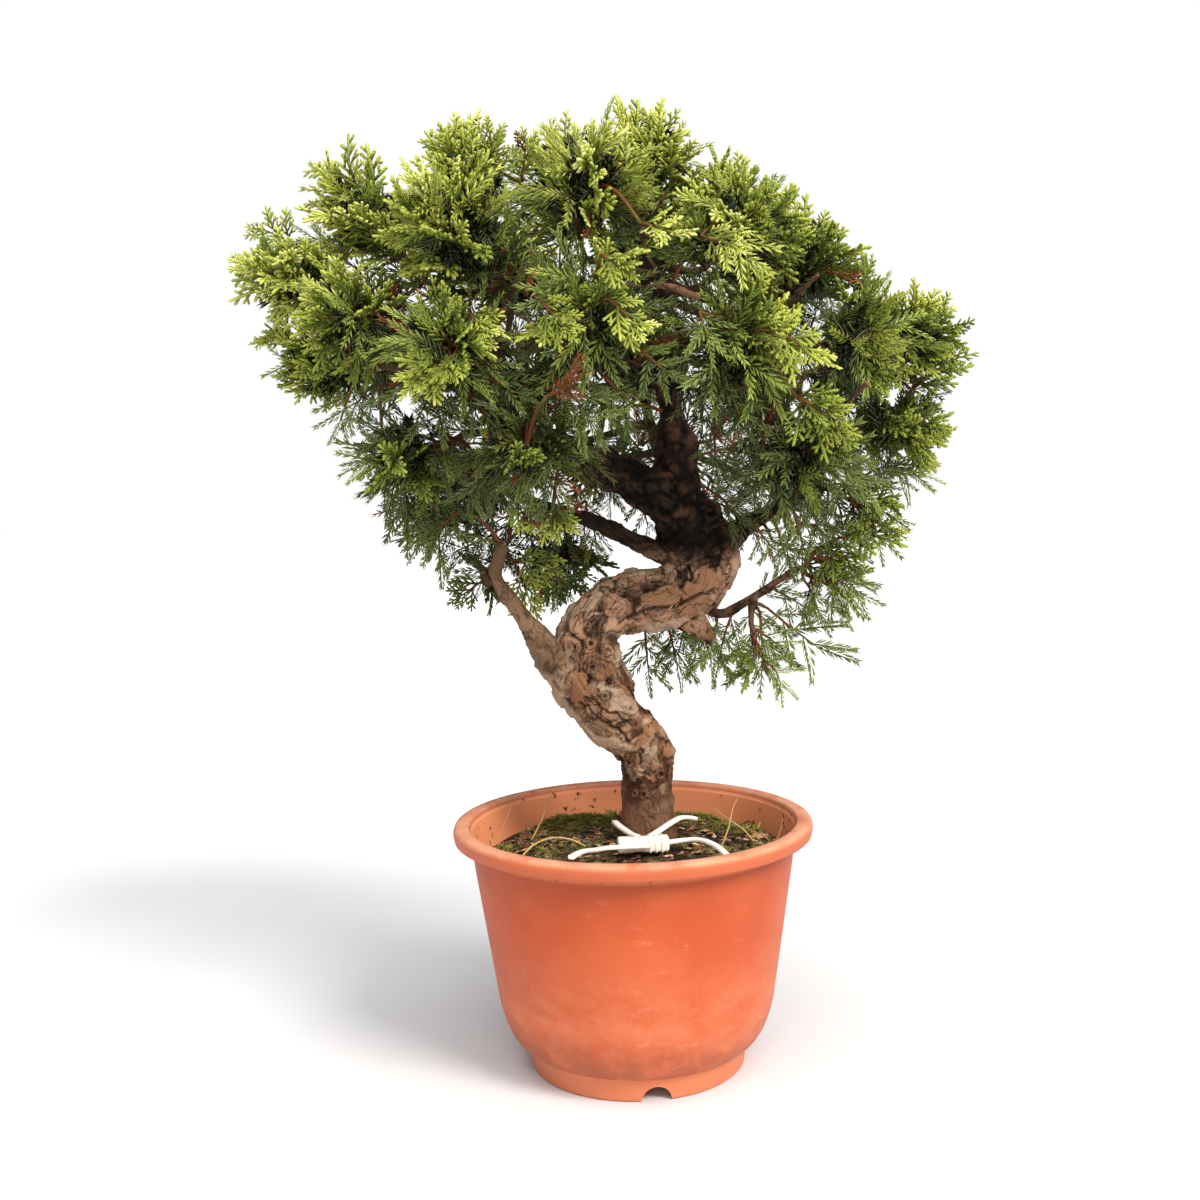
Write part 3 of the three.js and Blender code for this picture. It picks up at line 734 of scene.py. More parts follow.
def crumbs_height(x, y):
    """Crumbs: each cell of noise is a small dome, 1 - distance squared, in two sizes."""
    large, _, size = cells(in_plane(x, y) / 5.2, 11)
    small, _, _ = cells(in_plane(x, y) / 2.1, 17)
    dome = np.clip(1 - (large / 0.62) ** 2, 0, 1) * (0.4 + 1.5 * size)
    grit = np.clip(1 - (small / 0.7) ** 2, 0, 1) * 0.5
    return dome + grit + 0.5 * rough_noise(in_plane(x, y) / 13, 23, 3)


def disc(cells_across):
    """A square grid with u and v from -1 to 1, pushed out to a disc: the longer of the
    two gives the radius, and the angle runs evenly along each side of the square."""
    u, v = np.meshgrid(*[np.linspace(-1, 1, cells_across + 1)] * 2, indexing="ij")
    wide = np.abs(u) >= np.abs(v)
    reach = np.where(wide, u, v)
    ratio = np.where(wide, v, u) / np.where(reach == 0, 1, reach)
    turn = np.where(wide, ratio * np.pi / 4, np.pi / 2 - ratio * np.pi / 4)
    return reach * np.cos(turn), reach * np.sin(turn)


# %% The soil as a closed body
def soil_shape():
    """The crumbly top, then rings down the inside of the pot's wall to its floor."""
    x, y = (part * SOIL_EDGE_RADIUS for part in disc(SOIL_CELLS))
    top = ground(x, y) + 0.2 + crumbs_height(x, y) * ease(np.hypot(x, y), SOIL_EDGE_RADIUS, 70)
    number = np.arange(x.size).reshape(x.shape)
    faces = [np.stack([number[:-1, :-1], number[1:, :-1], number[1:, 1:], number[:-1, 1:]],
                      -1).reshape(-1, 4)]
    above = np.concatenate([number[:-1, 0], number[-1, :-1], number[:0:-1, -1],
                            number[0, :0:-1]])
    points = np.stack([x, y, top], -1).reshape(-1, 3)
    rim = points[above]
    for share, low in [(1.0, 98), (0.9, 42), (0.855, 32), (0.80, 21), (0.69, 9.5), (0.67, 8.4)]:
        below = len(points) + np.arange(len(rim))
        faces.append(np.stack([above, below, np.roll(below, -1), np.roll(above, -1)], -1))
        points = np.vstack([points, rim * [share, share, 0] + [0, 0, low]])
        above = below
    middle = np.full(len(rim), len(points))
    faces.append(np.stack([middle, np.roll(above, -1), above], -1))
    return shape_of(np.vstack([points, [[0, 0, 8.4]]]), faces)


soil = soil_shape()
print("soil points:", len(soil["points"]))

# %% [markdown]
# Damp soil is nearly black with brown bark crumbs, and a few pale ones. Moss has crept
# over it in patches. It is matt: the eye reads roughness and small shadows, not gloss.

# %% Finish of the soil
soil_finish = new_finish("damp_bark_potting_soil", Roughness=0.93, IOR=1.4)
grains = add_node("TexVoronoi", inputs={"Vector": here(), "Scale": 1 / (3.2 * MM)})["Color"]
crumb = add_node("ValToRGB", inputs={
    "Fac": add_node("SeparateColor", inputs={"Color": grains})[0]}, stops=[
    (0.0, "#140c07"), (0.42, "#2c1c0d"), (0.68, "#513621"), (0.86, "#8a6647"),
    (1.0, "#c9a781")])[0]
mossy = coated("#44450f", ("#97944a", spots(2.5, 3)))
painted(coated("#150c06", (crumb, (spots(1.2, 3), 0.3, 0.75)),
               (mossy, (spots(19, 5, rough=0.6), 0.50, 0.64),
                (spots(1.7, 3), 0.38, 0.62, 0, 0.8))))
relief(spots(1.0, 4), 0.9, 0.9)
piece_of("potting_soil_bed", soil, soil_finish, "potting_soil", "soil")

# %% [markdown]
# ## Trunk, limbs and twigs
#
# The tree grew as one, so it is one piece: a thick tube for the trunk, and thinner ones
# that start inside it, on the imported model's own paths. Real bark is built on them in
# layers: slow swellings, plates with cracks between, small flakes, the knots of old
# branches and a few patches where the bark has peeled off the living wood.

# %% Paths of the trunk and the limbs: x, y, z and radius in millimetres
trunk_route = [
    [9, 9, 84, 10], [8, 8, 100, 15], [8, 7, 111, 14.6], [8, 7, 125, 13],
    [8, 6, 141, 13.2], [7, 4, 154, 13.6], [2, 1, 165, 14.5], [-9, -3, 180, 14.8],
    [-18, -6, 195, 15], [-21, -8, 208, 15.6], [-18, -6, 221, 15.2], [-8, -2, 230, 14],
    [7, 4, 232, 13.8], [22, 9, 233, 14], [34, 13, 240, 15], [39, 15, 251, 15.6],
    [37, 14, 262, 15.6], [32, 12, 271, 14],
]
limb_routes = {
    "left": [[37, 14, 257, 14], [28, 10, 275, 14], [15, 4, 287, 12], [1, -4, 295, 10],
             [-11, -12, 300, 8.7], [-25, -24, 306, 7], [-43, -34, 314, 5.5],
             [-60, -32, 326, 4.2], [-78, -20, 342, 3]],
    "up": [[34, 12, 262, 13], [29, 10, 280, 12], [27, 8, 295, 11], [26, 7, 312, 9],
           [25, 6, 324, 7], [27, 4, 336, 4.6], [31, 0, 351, 3.6], [31, -3, 361, 3],
           [26, -7, 371, 2.5], [21, -10, 380, 2.2], [18, -14, 390, 2]],
    "leader": [[28, 10, 300, 8], [24, 20, 328, 6.2], [18, 26, 358, 4.8],
               [14, 20, 384, 3.6], [10, 8, 400, 2.4]],
    "low_left": [[34, 14, 252, 9], [16, 8, 257, 5.6], [5, 4, 262, 4.7], [-6, 0, 268, 4.2],
                 [-17, -4, 273, 3.8], [-34, -10, 279, 3.2], [-50, -14, 286, 2.6]],
    "right": [[40, 15, 252, 11], [52, 18, 262, 6.6], [64, 20, 270, 4.8], [79, 20, 278, 4],
              [90, 20, 284, 3.4], [98, 18, 296, 2.8], [102, 14, 312, 2.3]],
    "hanging_right": [[34, 14, 236, 5], [42, 11, 226, 2.4], [49, 7, 225, 1.9],
                      [57, 4, 229.5, 1.7], [68, 2, 236.5, 1.6], [80, 3, 244, 1.5]],
    "cut_right": [[22, 9, 231, 9], [31, 9, 222.5, 5.8], [38, 7.6, 216, 3.9],
                  [43.6, 6.2, 211, 2.4]],
    "back": [[36, 16, 258, 11], [32, 34, 272, 7.5], [26, 48, 290, 5.6], [18, 56, 312, 4.4],
             [12, 58, 334, 3.2], [10, 58, 350, 2.4]],
    "cut_left": [[-22, -8, 196, 9], [-35, -12, 206, 7.5], [-46, -16, 221, 6],
                 [-55, -19, 235, 5], [-61, -20, 244, 4.6], [-63, -20, 250, 4],
                 [-61, -20, 257, 3.3], [-59, -20, 264, 3.1]],
    "dead_spur": [[-59, -20, 241, 3.2], [-65, -20, 245, 2.4], [-69, -20, 251, 1.4]],
}
limb_routes = {name: np.array(route, float) for name, route in limb_routes.items()}
print("limbs:", len(limb_routes))

# %% [markdown]
# Each clump of foliage is carried by a twig. The clump's place is read from the packed
# egg: its middle is the mean of its corners, and its inner end is the corner that lies
# nearest to the most corners of the tree, because the twig stops just short of it.

# %% Where each clump grows
# Each clump's limb, how far along it the twig starts, the share of scaly twiglets, and how
# full it is: clumps that hang under the crown are thin, and let the background through
clump_table = {
    "left_far": ("left", 1, 0.95, 1), "left_low": ("left", 0.97, 0.8, 1),
    "left_upper": ("left", 0.93, 0.85, 1), "top_left": ("left", 0.88, 0.85, 1),
    "top_mid_left": ("leader", 0.96, 0.85, 1), "top": ("up", 1, 0.9, 1),
    "top_right": ("leader", 1, 0.8, 1), "right_upper": ("up", 0.97, 0.75, 1),
    "right_far": ("right", 1, 0.85, 1), "right_mid": ("right", 0.92, 0.75, 1),
    "right_low": ("right", 0.82, 0.45, 0.75), "right_hanging": ("hanging_right", 1, 0.15, 0.55),
    "right_hanging_low": ("hanging_right", 0.72, 0.15, 0.5),
    "left_hanging": ("low_left", 1, 0.2, 1), "left_hanging_low": ("low_left", 0.92, 0.5, 0.7),
    "middle_hanging": ("low_left", 0.72, 0.3, 1), "back_hanging": ("back", 0.12, 0.2, 0.5),
    "front_top_left": ("left", 0.9, 0.55, 1), "front_top": ("up", 0.98, 0.45, 1),
    "front_top_right": ("up", 0.9, 0.55, 1), "front_left": ("left", 0.96, 0.6, 1),
    "front_middle_left": ("left", 0.8, 0.45, 1), "front_middle": ("up", 0.7, 0.4, 1),
    "front_middle_right": ("up", 0.62, 0.35, 1), "front_right": ("right", 0.96, 0.55, 1),
    "front_low_left": ("left", 0.78, 0.3, 1), "front_low_middle": ("left", 0.6, 0.15, 1),
    "front_low_right": ("right", 0.5, 0.2, 1), "back_top_left": ("leader", 0.82, 0.55, 1),
    "back_top": ("leader", 0.9, 0.55, 1), "back_top_right": ("leader", 0.78, 0.55, 1),
    "back_left": ("leader", 0.7, 0.55, 1), "back_middle_left": ("back", 0.9, 0.55, 1),
    "back_middle": ("back", 1, 0.55, 1), "back_middle_right": ("back", 0.92, 0.55, 1),
    "back_right": ("right", 0.9, 0.55, 1), "back_low_left": ("back", 0.7, 0.55, 1),
    "back_low": ("back", 0.56, 0.55, 0.6), "back_low_right": ("back", 0.6, 0.55, 0.6),
}


CLOSE_BY = 1.8


def packed_corners(node):
    """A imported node's corners to a tenth of a millimetre, each once."""
    return np.unique(corners_of(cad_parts[node].data).round(1), axis=0)


tree_corners = packed_corners("trunk_and_branches")


def read_clump(name):
    """The clump's middle and two ends, its level, lengthwise and upright directions, and
    half of how far it spans in each."""
    egg = packed_corners("foliage_" + name)
    middle = egg.mean(0)
    near = np.linalg.norm(egg[:, None] - tree_corners[None], axis=-1) < CLOSE_BY
    inner = egg[np.argmax(near.sum(1))]
    along = unit(middle - inner)
    side = np.cross([0.0, 0.0, 1.0], along)
    side = unit(side if np.linalg.norm(side) > 0.3 else [1.0, 0, 0] - along * along[0])
    basis = np.array([side, along, np.cross(side, along)])
    half = np.abs((egg - middle) @ basis.T).max(0)
    half[1] = np.linalg.norm(middle - inner)
    return {"inner": inner, "outer": 2 * middle - inner, "middle": middle, "along": along,
            "basis": basis, "half": half}


clumps = {name: read_clump(name) for name in clump_table}
print("clumps:", len(clumps), "the top one ends at", clumps["top"]["outer"].round(0))

# %% [markdown]
# ## Bark relief
#
# Juniper bark comes off in thin layers, like old paint. Slow noise, cut into a few steps,
# gives such layers: each step's edge is a ragged line with a dark gap under it. Long
# plates from stretched cell noise add cracks. Knots are rings round a pit. All of it fades
# on thin wood.

# %% Knots, swellings, peeled and pale patches and the crease of the bend
# Knots: place, radius, height of the rings, depth of the pit
trunk_knots = np.array([
    (-5, -15, 232, 6.2, 0.5, 0.3), (-22, -18, 228, 3.6, 0.6, 0.6),
    (-26, -22, 214, 3.8, 1.0, 2.0), (-18, -22, 215, 3.2, 1.1, 2.0),
    (-17, -23, 204, 4.8, 1.1, 1.4), (-9, -18, 196, 3.8, 1.0, 1.6),
    (-10, -19, 210, 4.4, 1.9, 1.0), (15, -6, 147, 3.2, 1.1, 1.4),
    (1, -5, 137, 3.0, 1.3, 1.6), (6, -7, 136.5, 2.8, 1.3, 1.5),
    (9, -10, 229, 4.2, 1.4, 0.4), (3, -14, 174, 3.0, 0.8, 0.9),
    (25, -5, 226, 3.4, 0.9, 1.3), (16, 20, 150, 4.5, 1.2, 1.0),
    (-30, 4, 200, 5.0, 1.1, 1.2), (4, 16, 222, 5.5, 1.2, 1.0),
    (20, 22, 232, 4.5, 1.0, 1.0), (-6, 8, 190, 4.0, 1.0, 1.0),
    (44, 8, 262, 4.2, 1.2, 1.0), (31, -2, 256, 4.6, 1.0, 0.8),
    (22, 2, 152, 2.6, 1.0, 0.4), (-12, -20, 189, 3.0, 0.8, 0.8)])
# Swellings: place, reach and height
trunk_swellings = np.array([
    (20, 1, 156, 3.8, 2.4), (-5, 4, 158, 6.0, -1.0), (-29, -10, 226, 7.0, 1.6),
    (-4, -2, 243, 9.0, -2.4), (-17, -4, 238, 7.0, -1.6), (10, -8, 168, 6.0, 1.5),
    (-10, -16, 182, 6.5, 1.2), (22, 4, 132, 3.0, 1.4), (47, 10, 248, 6.0, 1.4),
    (-8, -14, 212, 4.5, 1.5), (17, 7, 116, 6.0, 1.2), (-3, 4, 138, 7.0, -0.8),
    (8, -6, 113, 7.0, 1.0), (12, -10, 160, 4.0, 1.2), (21, -3, 134, 2.4, 1.0)])
# Patches where the bark has peeled, and weathered pale ones: place and reach
peeled_patches = np.array([
    (-26, -20, 197, 5.5), (-22, -19, 190, 4.6), (12, -10, 234, 6.0), (22, -6, 237, 8.0),
    (32, -4, 237, 7.5), (41, 0, 243, 7.0), (30, -4, 228, 5.5), (38, -1, 231, 5.0),
    (9, -12, 170, 4.0), (13, -7, 172, 3.6), (-5, 18, 215, 7.0), (26, 24, 240, 7.0)])
pale_patches = np.array([
    (17, -3, 139, 3.8), (18, -2, 131, 3.0), (4, -7, 149, 3.6), (11, -10, 160, 3.2),
    (-3, -19, 222, 4.0), (28, -6, 243, 4.0), (-14, -22, 192, 4.0), (6, -14, 181, 3.0)])
bend_crease = [(1, -12, 225), (9, -10, 229), (16, -7, 230), (24, -5, 230), (31, -4, 233),
               (38, -2, 236)]


def distance_to(points, places):
    """Distance from each point to each of some places, one column for each."""
    return np.linalg.norm(points[:, None] - places[None, :, :3], axis=-1)


def patch_mask(points, patches, seed):
    """1 in the patches and 0 outside, with edges that noise has made ragged."""
    ragged = 1 + 0.75 * rough_noise(points / 5.5, seed, 4)[:, None]
    share = distance_to(points, patches) * ragged / patches[:, 3]
    return ease(share.min(1), 1.15, 0.85)


# %% Rings and pits of the knots
RING_PITCH = 1.75
PIT_RADIUS = 1.15


def knots_height(points):
    """Rings 1.75 mm apart inside each knot's radius, on a low dome, with a pit in its
    middle: rise (0.5 dome + rings) - depth exp(-(distance / 1.15 mm)^2)."""
    far = distance_to(points, trunk_knots)
    far = far + 1.0 * noise(points / 2.6, 71)[:, None] + 1.0 * noise(points / 5, 72)[:, None]
    radius, rise, depth = trunk_knots[:, 3:].T
    inside = ease(far / radius, 1.1, 0.85)
    rings = 0.55 * np.cos(far * 2 * np.pi / RING_PITCH + 0.6)
    pit = np.exp(-((far / PIT_RADIUS) ** 2))
    dome = 0.5 * (1 - np.clip(far / radius, 0, 1) ** 2)
    grooves = inside * ease(rings, -0.12, -0.4) * np.minimum(1, rise)
    dark = np.maximum((pit * np.minimum(1, depth)).max(1), 0.75 * grooves.max(1))
    return (rise * inside * (dome + rings) - depth * pit).sum(1), dark, inside.max(1)


# %% The relief itself
LAYER_THICKNESS = 1.15
# Sizes along the branch, and in the two directions across it
LAYER_SIZE = [26.0, 14.0, 14.0]
PLATE_SIZE = [30.0, 15.0, 15.0]
SHINGLE_SIZE = [15.0, 8.5, 8.5]


def drift(points, seed):
    """Noise in each of the three directions."""
    return np.stack([noise(points, seed + k) for k in range(3)], -1)


def bark(points, along, angle, radius):
    """Relief in millimetres and what the bark's finish reads, for points that lie so far
    along a branch, at an angle round it, where it has this radius. Slow noise, plus layers
    times their thickness, plus high and low plates, less the cracks between them, plus
    fine noise, all times a strength that grows with the radius."""
    turn, z = angle + along * 0.012, points[:, 2]
    grain = np.stack([along, radius * np.cos(turn), radius * np.sin(turn)], -1)
    bent = grain + 2.6 * drift(points / 6, 41) + 0.7 * drift(points / 1.9, 44)
    field = 3.2 * rough_noise(bent / LAYER_SIZE, 47, 2) + 0.5
    layer = np.floor(field)
    step = field - layer
    edge = np.exp(-(((step - 0.91) / 0.085) ** 2)) * (np.abs(layer) < 4)
    first, second, plate = cells(bent / PLATE_SIZE, 51)
    crack = (ease(second - first, 0.085, 0.02) * ease(noise(points / 9, 52), -0.35, 0.1)
             * ease(z, 150.0, 175.0))
    strength = np.clip(radius / 12.0, 0.10, 1.1)
    foot = 1 - ease(z, 124.0, 140.0)
    calm = 1 - 0.75 * foot
    fissure = np.exp(-((noise(grain / [60.0, 8.0, 8.0], 61) / 0.05) ** 2)) * foot
    height = calm * strength * (
        1.1 * rough_noise(points / 16, 57, 3)
        + LAYER_THICKNESS * (layer + ease(step, 0.90, 0.99)) + 0.7 * (plate - 0.5)
        - crack + 0.28 * noise(grain / [8.0, 0.9, 0.9], 53) + 0.22 * noise(points / 1.3, 59))
    scaly = ease(z, 250.0, 262.0) * strength
    nearest, second, shingle = cells(bent / SHINGLE_SIZE, 71)
    gap = ease(second - nearest, 0.20, 0.03) * scaly
    height = height + scaly * (2.8 * (shingle - 0.5) - 1.6 * nearest) - 0.8 * gap
    tint = np.abs(np.sin(layer * 12.9 + np.round(plate * 7) * 4.1))
    dark = np.max([0.9 * crack, 0.95 * edge * calm, gap, 0.9 * fissure], axis=0)
    return height - 0.8 * fissure, {"crack": dark, "grain": grain,
                                    "plate": np.where(scaly > 0.3, shingle, tint)}


def trunk_marks(points, height, values):
    """Adds knots, patches, the crease and swellings to the trunk's relief. A swelling is
    its height times exp(-(distance / reach)^2)."""
    knot, dark, near_knot = knots_height(points)
    near = np.exp(-((distance_to(points, trunk_swellings) / trunk_swellings[:, 3]) ** 2))
    peel = patch_mask(points, peeled_patches, 91)
    pale = patch_mask(points, pale_patches, 93)
    gap = distance_to(points, smooth_path(bend_crease, 60)).min(1)
    crease = np.exp(-((gap / 1.2) ** 2))
    calm = (1 - 0.88 * peel) * (1 - 0.7 * near_knot)
    fibre = noise(values["grain"] / [16.0, 1.4, 1.4], 95)
    height = (height * calm + knot * (1 - 0.8 * peel) + near @ trunk_swellings[:, 4]
              - 0.35 * peel + 0.45 * pale + 0.18 * peel * fibre - 1.4 * crease)
    rim = ease(peel, 0.02, 0.3) * ease(peel, 0.9, 0.5)
    crack = np.max([values["crack"] * calm, dark, 0.9 * crease, 0.3 * rim], axis=0)
    return height, values | {"crack": crack, "peel": peel, "pale": pale}


# %% [markdown]
# A branch is a tube whose rings are pushed out by the bark's relief. Where it leaves
# another branch it flares, as the collar of a real branch does. A cut branch shows a pale
# end, and thin wood is younger, redder and smoother.


# %% A branch with bark
def branch(route, sides, pitch, seed, marks=None, buried=0.0, bare_from=None, cut=0.0,
           flaky=1.0):
    """Tube along the route's x, y, z and radius, plus a collar that fades over a few
    millimetres past the buried stretch, plus the bark's relief at each point."""
    length = distance_along(smooth_path(route[:, :3], 300))[-1]
    count = max(6, int(length / pitch))
    path = smooth_path(route[:, :3], count)
    share = np.linspace(0, 1, count)
    radius = np.interp(share * (len(route) - 1), np.arange(len(route)), route[:, 3])
    if buried:
        past = np.clip(share * length - buried, 0, None)
        radius = radius * (1 + 0.32 * np.exp(-past / (1.1 * radius[0])))
    points = tube(path, radius, sides)["points"][:-2]
    thick, along = np.repeat(radius, sides), np.repeat(share * length, sides)
    height, values = bark(points, along + seed * 37.0, np.tile(turns(sides), count), thick)
    height = height * flaky
    nothing = np.zeros(len(points))
    values |= {"peel": nothing, "pale": nothing, "bare": nothing, "thick": thick,
               "cut": nothing}
    if marks:
        height, values = marks(points, height, values)
    if bare_from is not None:
        values["bare"] = ease(along, bare_from * length, bare_from * length + 3)
        height = height * (1 - 0.9 * values["bare"])
        values["crack"] = values["crack"] * (1 - values["bare"])
    end_round = rounded_end(length - along, 0.8, 0.3)
    out = unit(points - np.repeat(path, sides, axis=0))
    points = points + out * (height - (1 - end_round) * thick)[:, None]
    ends = path[[0, -1]] + rings_along(path)[0][[0, -1]] * [[-0.1], [0.15]]
    values["relief"] = height
    held = {key: np.concatenate([v, v[[0, -1]]]) for key, v in values.items()}
    held["cut"][-2 - sides:-2] = 0.6 * cut
    held["cut"][-1] = cut
    return shape_of(np.vstack([points, ends]), tube_faces(count, sides), held)


# %% The twig of each clump
TWIG_TIP_RADIUS = 1.3


def limb_share(points, share):
    """How far along the limb its points-th share lies: shares count points, not distance."""
    steps = np.array([distance_along(smooth_path(points[:k + 1], 100))[-1] if k else 0.0
                      for k in range(len(points))])
    whole = distance_along(smooth_path(points, 400))[-1]
    return np.interp(share * (len(points) - 1), np.arange(len(points)), steps) / whole


def twig_route(name):
    """Cubic curve from the limb to the clump, with its radius: it leaves towards the clump,
    and comes in along the clump's own direction."""
    clump, (limb, share, *_) = clumps[name], clump_table[name]
    points = limb_routes[limb][:, :3]
    start = smooth_path(points, 400)[min(399, int(limb_share(points, share) * 399))]
    end = clump["inner"] - clump["along"] * 0.3
    reach = np.linalg.norm(end - start)
    first = start + 0.3 * (end - start)
    out = end - clump["along"] * 0.45 * reach
    t = np.linspace(0, 1, 9)[:, None]
    route = ((1 - t) ** 3 * start + 3 * t * (1 - t) ** 2 * first
             + 3 * t**2 * (1 - t) * out + t**3 * end)
    radius = np.linspace(min(3.0, 1.7 + reach * 0.014), TWIG_TIP_RADIUS, 9)
    return np.column_stack([route, radius])


# %% Building the whole tree
# Pruned twigs that show in the crown: x, y, z and radius from inside to the cut end
pruned_stubs = np.array([
    [[-14, -54, 391, 1.5], [-17, -64, 401, 2.4], [-20, -74, 412, 2.3], [-23, -79, 418, 1.8]],
    [[-68, -50, 392, 1.5], [-75, -62, 400, 2.2], [-77, -71, 407, 2.1], [-79, -77, 412, 1.6]],
    [[10, -62, 397, 1.5], [14, -71, 404, 2.3], [18, -78, 410, 2.2], [22, -83, 416, 1.5]],
    [[43, -70, 381, 1.4], [42, -78, 387, 1.9], [41, -86, 391, 1.9], [40, -91, 395, 1.5]],
    [[66, -54, 359, 1.5], [73, -64, 366, 2.1], [79, -73, 373, 2.0], [86, -80, 379, 1.4]],
    [[92, -62, 319, 1.4], [97, -72, 323, 2.0], [101, -82, 328, 1.9], [105, -89, 332, 1.4]],
    [[-5, -96, 375, 1.2], [8, -106, 373, 1.6], [20, -111, 372, 1.6], [33, -112, 367, 1.2]],
])
TRUNK_SIDES = 148
SIDES_PER_RADIUS = 5.4
TRUNK_RING_PITCH = 0.64
LIMB_RING_PITCH = 1.1
STUB_RING_PITCH = 0.6
TWIG_RING_PITCH = 2.2
# How far along each of these its bark ends, and how rough the bark of some of them is
CUT_LIMBS = {"cut_left": 0.80, "cut_right": 0.93, "dead_spur": 0.97}
FLAKY_LIMBS = {"dead_spur": 12.0, "cut_right": 2.0}


def tree_shape():
    """Trunk, limbs, pruned stubs and twigs in one shape."""
    parts = [branch(np.array(trunk_route), TRUNK_SIDES, TRUNK_RING_PITCH, 1, trunk_marks)]
    for number, (name, route) in enumerate(limb_routes.items()):
        sides = int(np.clip(route[:, 3].mean() * SIDES_PER_RADIUS, 10, 52))
        parts.append(branch(route, sides, LIMB_RING_PITCH, 2 + number,
                            buried=12.0 if route[0, 3] >= 8 else 4.0,
                            cut=1.0 * (name in CUT_LIMBS),
                            bare_from=CUT_LIMBS.get(name), flaky=FLAKY_LIMBS.get(name, 1.0)))
    for number, route in enumerate(pruned_stubs * [1, 1, 1, 0.66]):
        parts.append(branch(route, 12, STUB_RING_PITCH, 70 + number, cut=0.2, flaky=2.0))
    for number, name in enumerate(clumps):
        parts.append(branch(twig_route(name), 7, TWIG_RING_PITCH, 20 + number, buried=3.0))
    return joined(parts)


tree_made = tree_shape()
print("tree points:", len(tree_made["points"]))

# %% [markdown]
# Old juniper bark is grey-brown where it has weathered, dark in its cracks, and orange
# where a plate has just come away. Living twigs are red-brown. The end of a cut branch is
# grey and smooth with a pale face. All of it is matt. Painted light and shade lie over it:
# the bend is lighter, the relief is darker where it is low and lighter where it is high, and
# the limbs inside the crown are nearly black.

# %% Finish of the bark
bark_finish = new_finish("flaking_juniper_bark", Roughness=0.84, IOR=1.45,
                         Specular_IOR_Level=0.2)
crack, plate, peel, pale, bare, thick, rise, cut_face = stored(
    "crack", "plate", "peel", "pale", "bare", "thick", "relief", "cut")
grain = add_node("Attribute", {"attribute_name": "grain"})["Vector"]
across, _, height = add_node("SeparateXYZ", inputs={"Vector": here()})
fibres = spots(1.0, 4, (10, 1, 1), grain, 0.65)
specks = spots(1.5, 4, rough=0.7)
weathered = add_node("ValToRGB", inputs={"Fac": spots(5.5, 6, rough=0.68)}, stops=[
    (0.30, "#4a2c1c"), (0.45, "#80543a"), (0.58, "#ab7c59"), (0.75, "#dbb28e")])[0]
fresh = add_node("ValToRGB", inputs={"Fac": fibres}, stops=[
    (0.25, "#7d4f33"), (0.5, "#a87450"), (0.75, "#c2946e")])[0]


def contours(pattern, many):
    """Thin lines round a pattern's hills: where many times its height is near a whole one."""
    lines = add_node("Math", {"operation": "MULTIPLY"}, {0: pattern, 1: many})[0]
    return add_node("Math", {"operation": "FRACT"}, {0: lines})[0]


swirl = add_node("TexNoise", inputs={"Vector": grain, "Scale": 1 / 6, "Detail": 5.0})["Color"]
swirled = add_node("VectorMath", {"operation": "MULTIPLY_ADD"},
                   {0: swirl, 1: (9.0, 9.0, 9.0), 2: grain})[0]
flakes = {"Scale": 1.0, "Vector": add_node("Mapping", inputs={
    "Vector": swirled, "Scale": (1 / 11.0, 1 / 6.0, 1 / 6.0)})[0]}
flake_edge = add_node("TexVoronoi", {"feature": "DISTANCE_TO_EDGE"}, flakes)["Distance"]
flake_shade = add_node("SeparateXYZ", inputs={
    "Vector": add_node("TexVoronoi", inputs=flakes)["Color"]})[0]
flaking = masked((spots(13, 4), 0.44, 0.56), (thick, 3.5, 7.0), (height, 0.128, 0.142),
                 less(peel), less(bare))
bark_colour = coated(
    weathered, ("#b08465", (plate, 0.35, 0.95, 0, 0.5)),
    # Painted light: the bark is lighter from 208 mm up, over the bend that the crown shades.
    ("#5c3a28", (plate, 0.35, 0.05, 0, 0.5)), ("#e6b592", (height, 0.208, 0.224, 0.0, 0.66)),
    ("#a8978a", (spots(17, 4), 0.52, 0.70, 0, 0.32)),
    ("#c9ab90", (specks, 0.56, 0.70, 0, 0.35)), ("#4a2e1e", (specks, 0.42, 0.30, 0, 0.55)),
    ("#4b2d1c", (fibres, 0.46, 0.30, 0, 0.45)), ("#bda88f", pale, 0.4), (fresh, peel, 0.7),
    ("#22130b", (contours(spots(24, 4), 7.0), 0.88, 0.95), (spots(11, 3), 0.44, 0.56, 0, 0.85)),
    ("#28160c", (contours(spots(6, 4, (3.2, 1, 1), grain, 0.6), 6.0), 0.84, 0.96),
     (spots(9, 3), 0.46, 0.58, 0, 0.8)),
    ("#d2ad8b", flaking, (flake_shade, 0.5, 0.95, 0.0, 0.5)),
    ("#4b2c1b", flaking, (flake_shade, 0.5, 0.05, 0.0, 0.3)),
    ("#23130a", flaking, (flake_edge, 0.06, 0.02, 0, 0.7)),
    (coated("#2b160c", ("#63402c", fibres)), (thick, 4.5, 2.0, 0, 0.85)),
    (coated("#75593f", ("#b09273", fibres)), bare, 0.9), ("#190e08", crack, 0.92),
    # Painted shade where the relief is low, and painted light where it is high.
    ("#28170d", (rise, -0.5, -2.2, 0, 0.72)), ("#dcbfa2", (rise, 0.6, 2.4, 0, 0.55)),
    ("#5f4a34", (thick, 9.5, 7.0), (across, -0.006, -0.020, 0.0, 0.6)),
    (coated("#3c2419", ("#8b6450", fibres)), (height, 0.146, 0.128, 0, 0.62)),
    ("#2a1c10", (height, 0.121, 0.111), (spots(4, 4), 0.4, 0.6, 0, 0.7)),
    ("#87895a", (spots(13, 5, rough=0.7), 0.66, 0.72), (thick, 8, 12, 0, 0.3)))
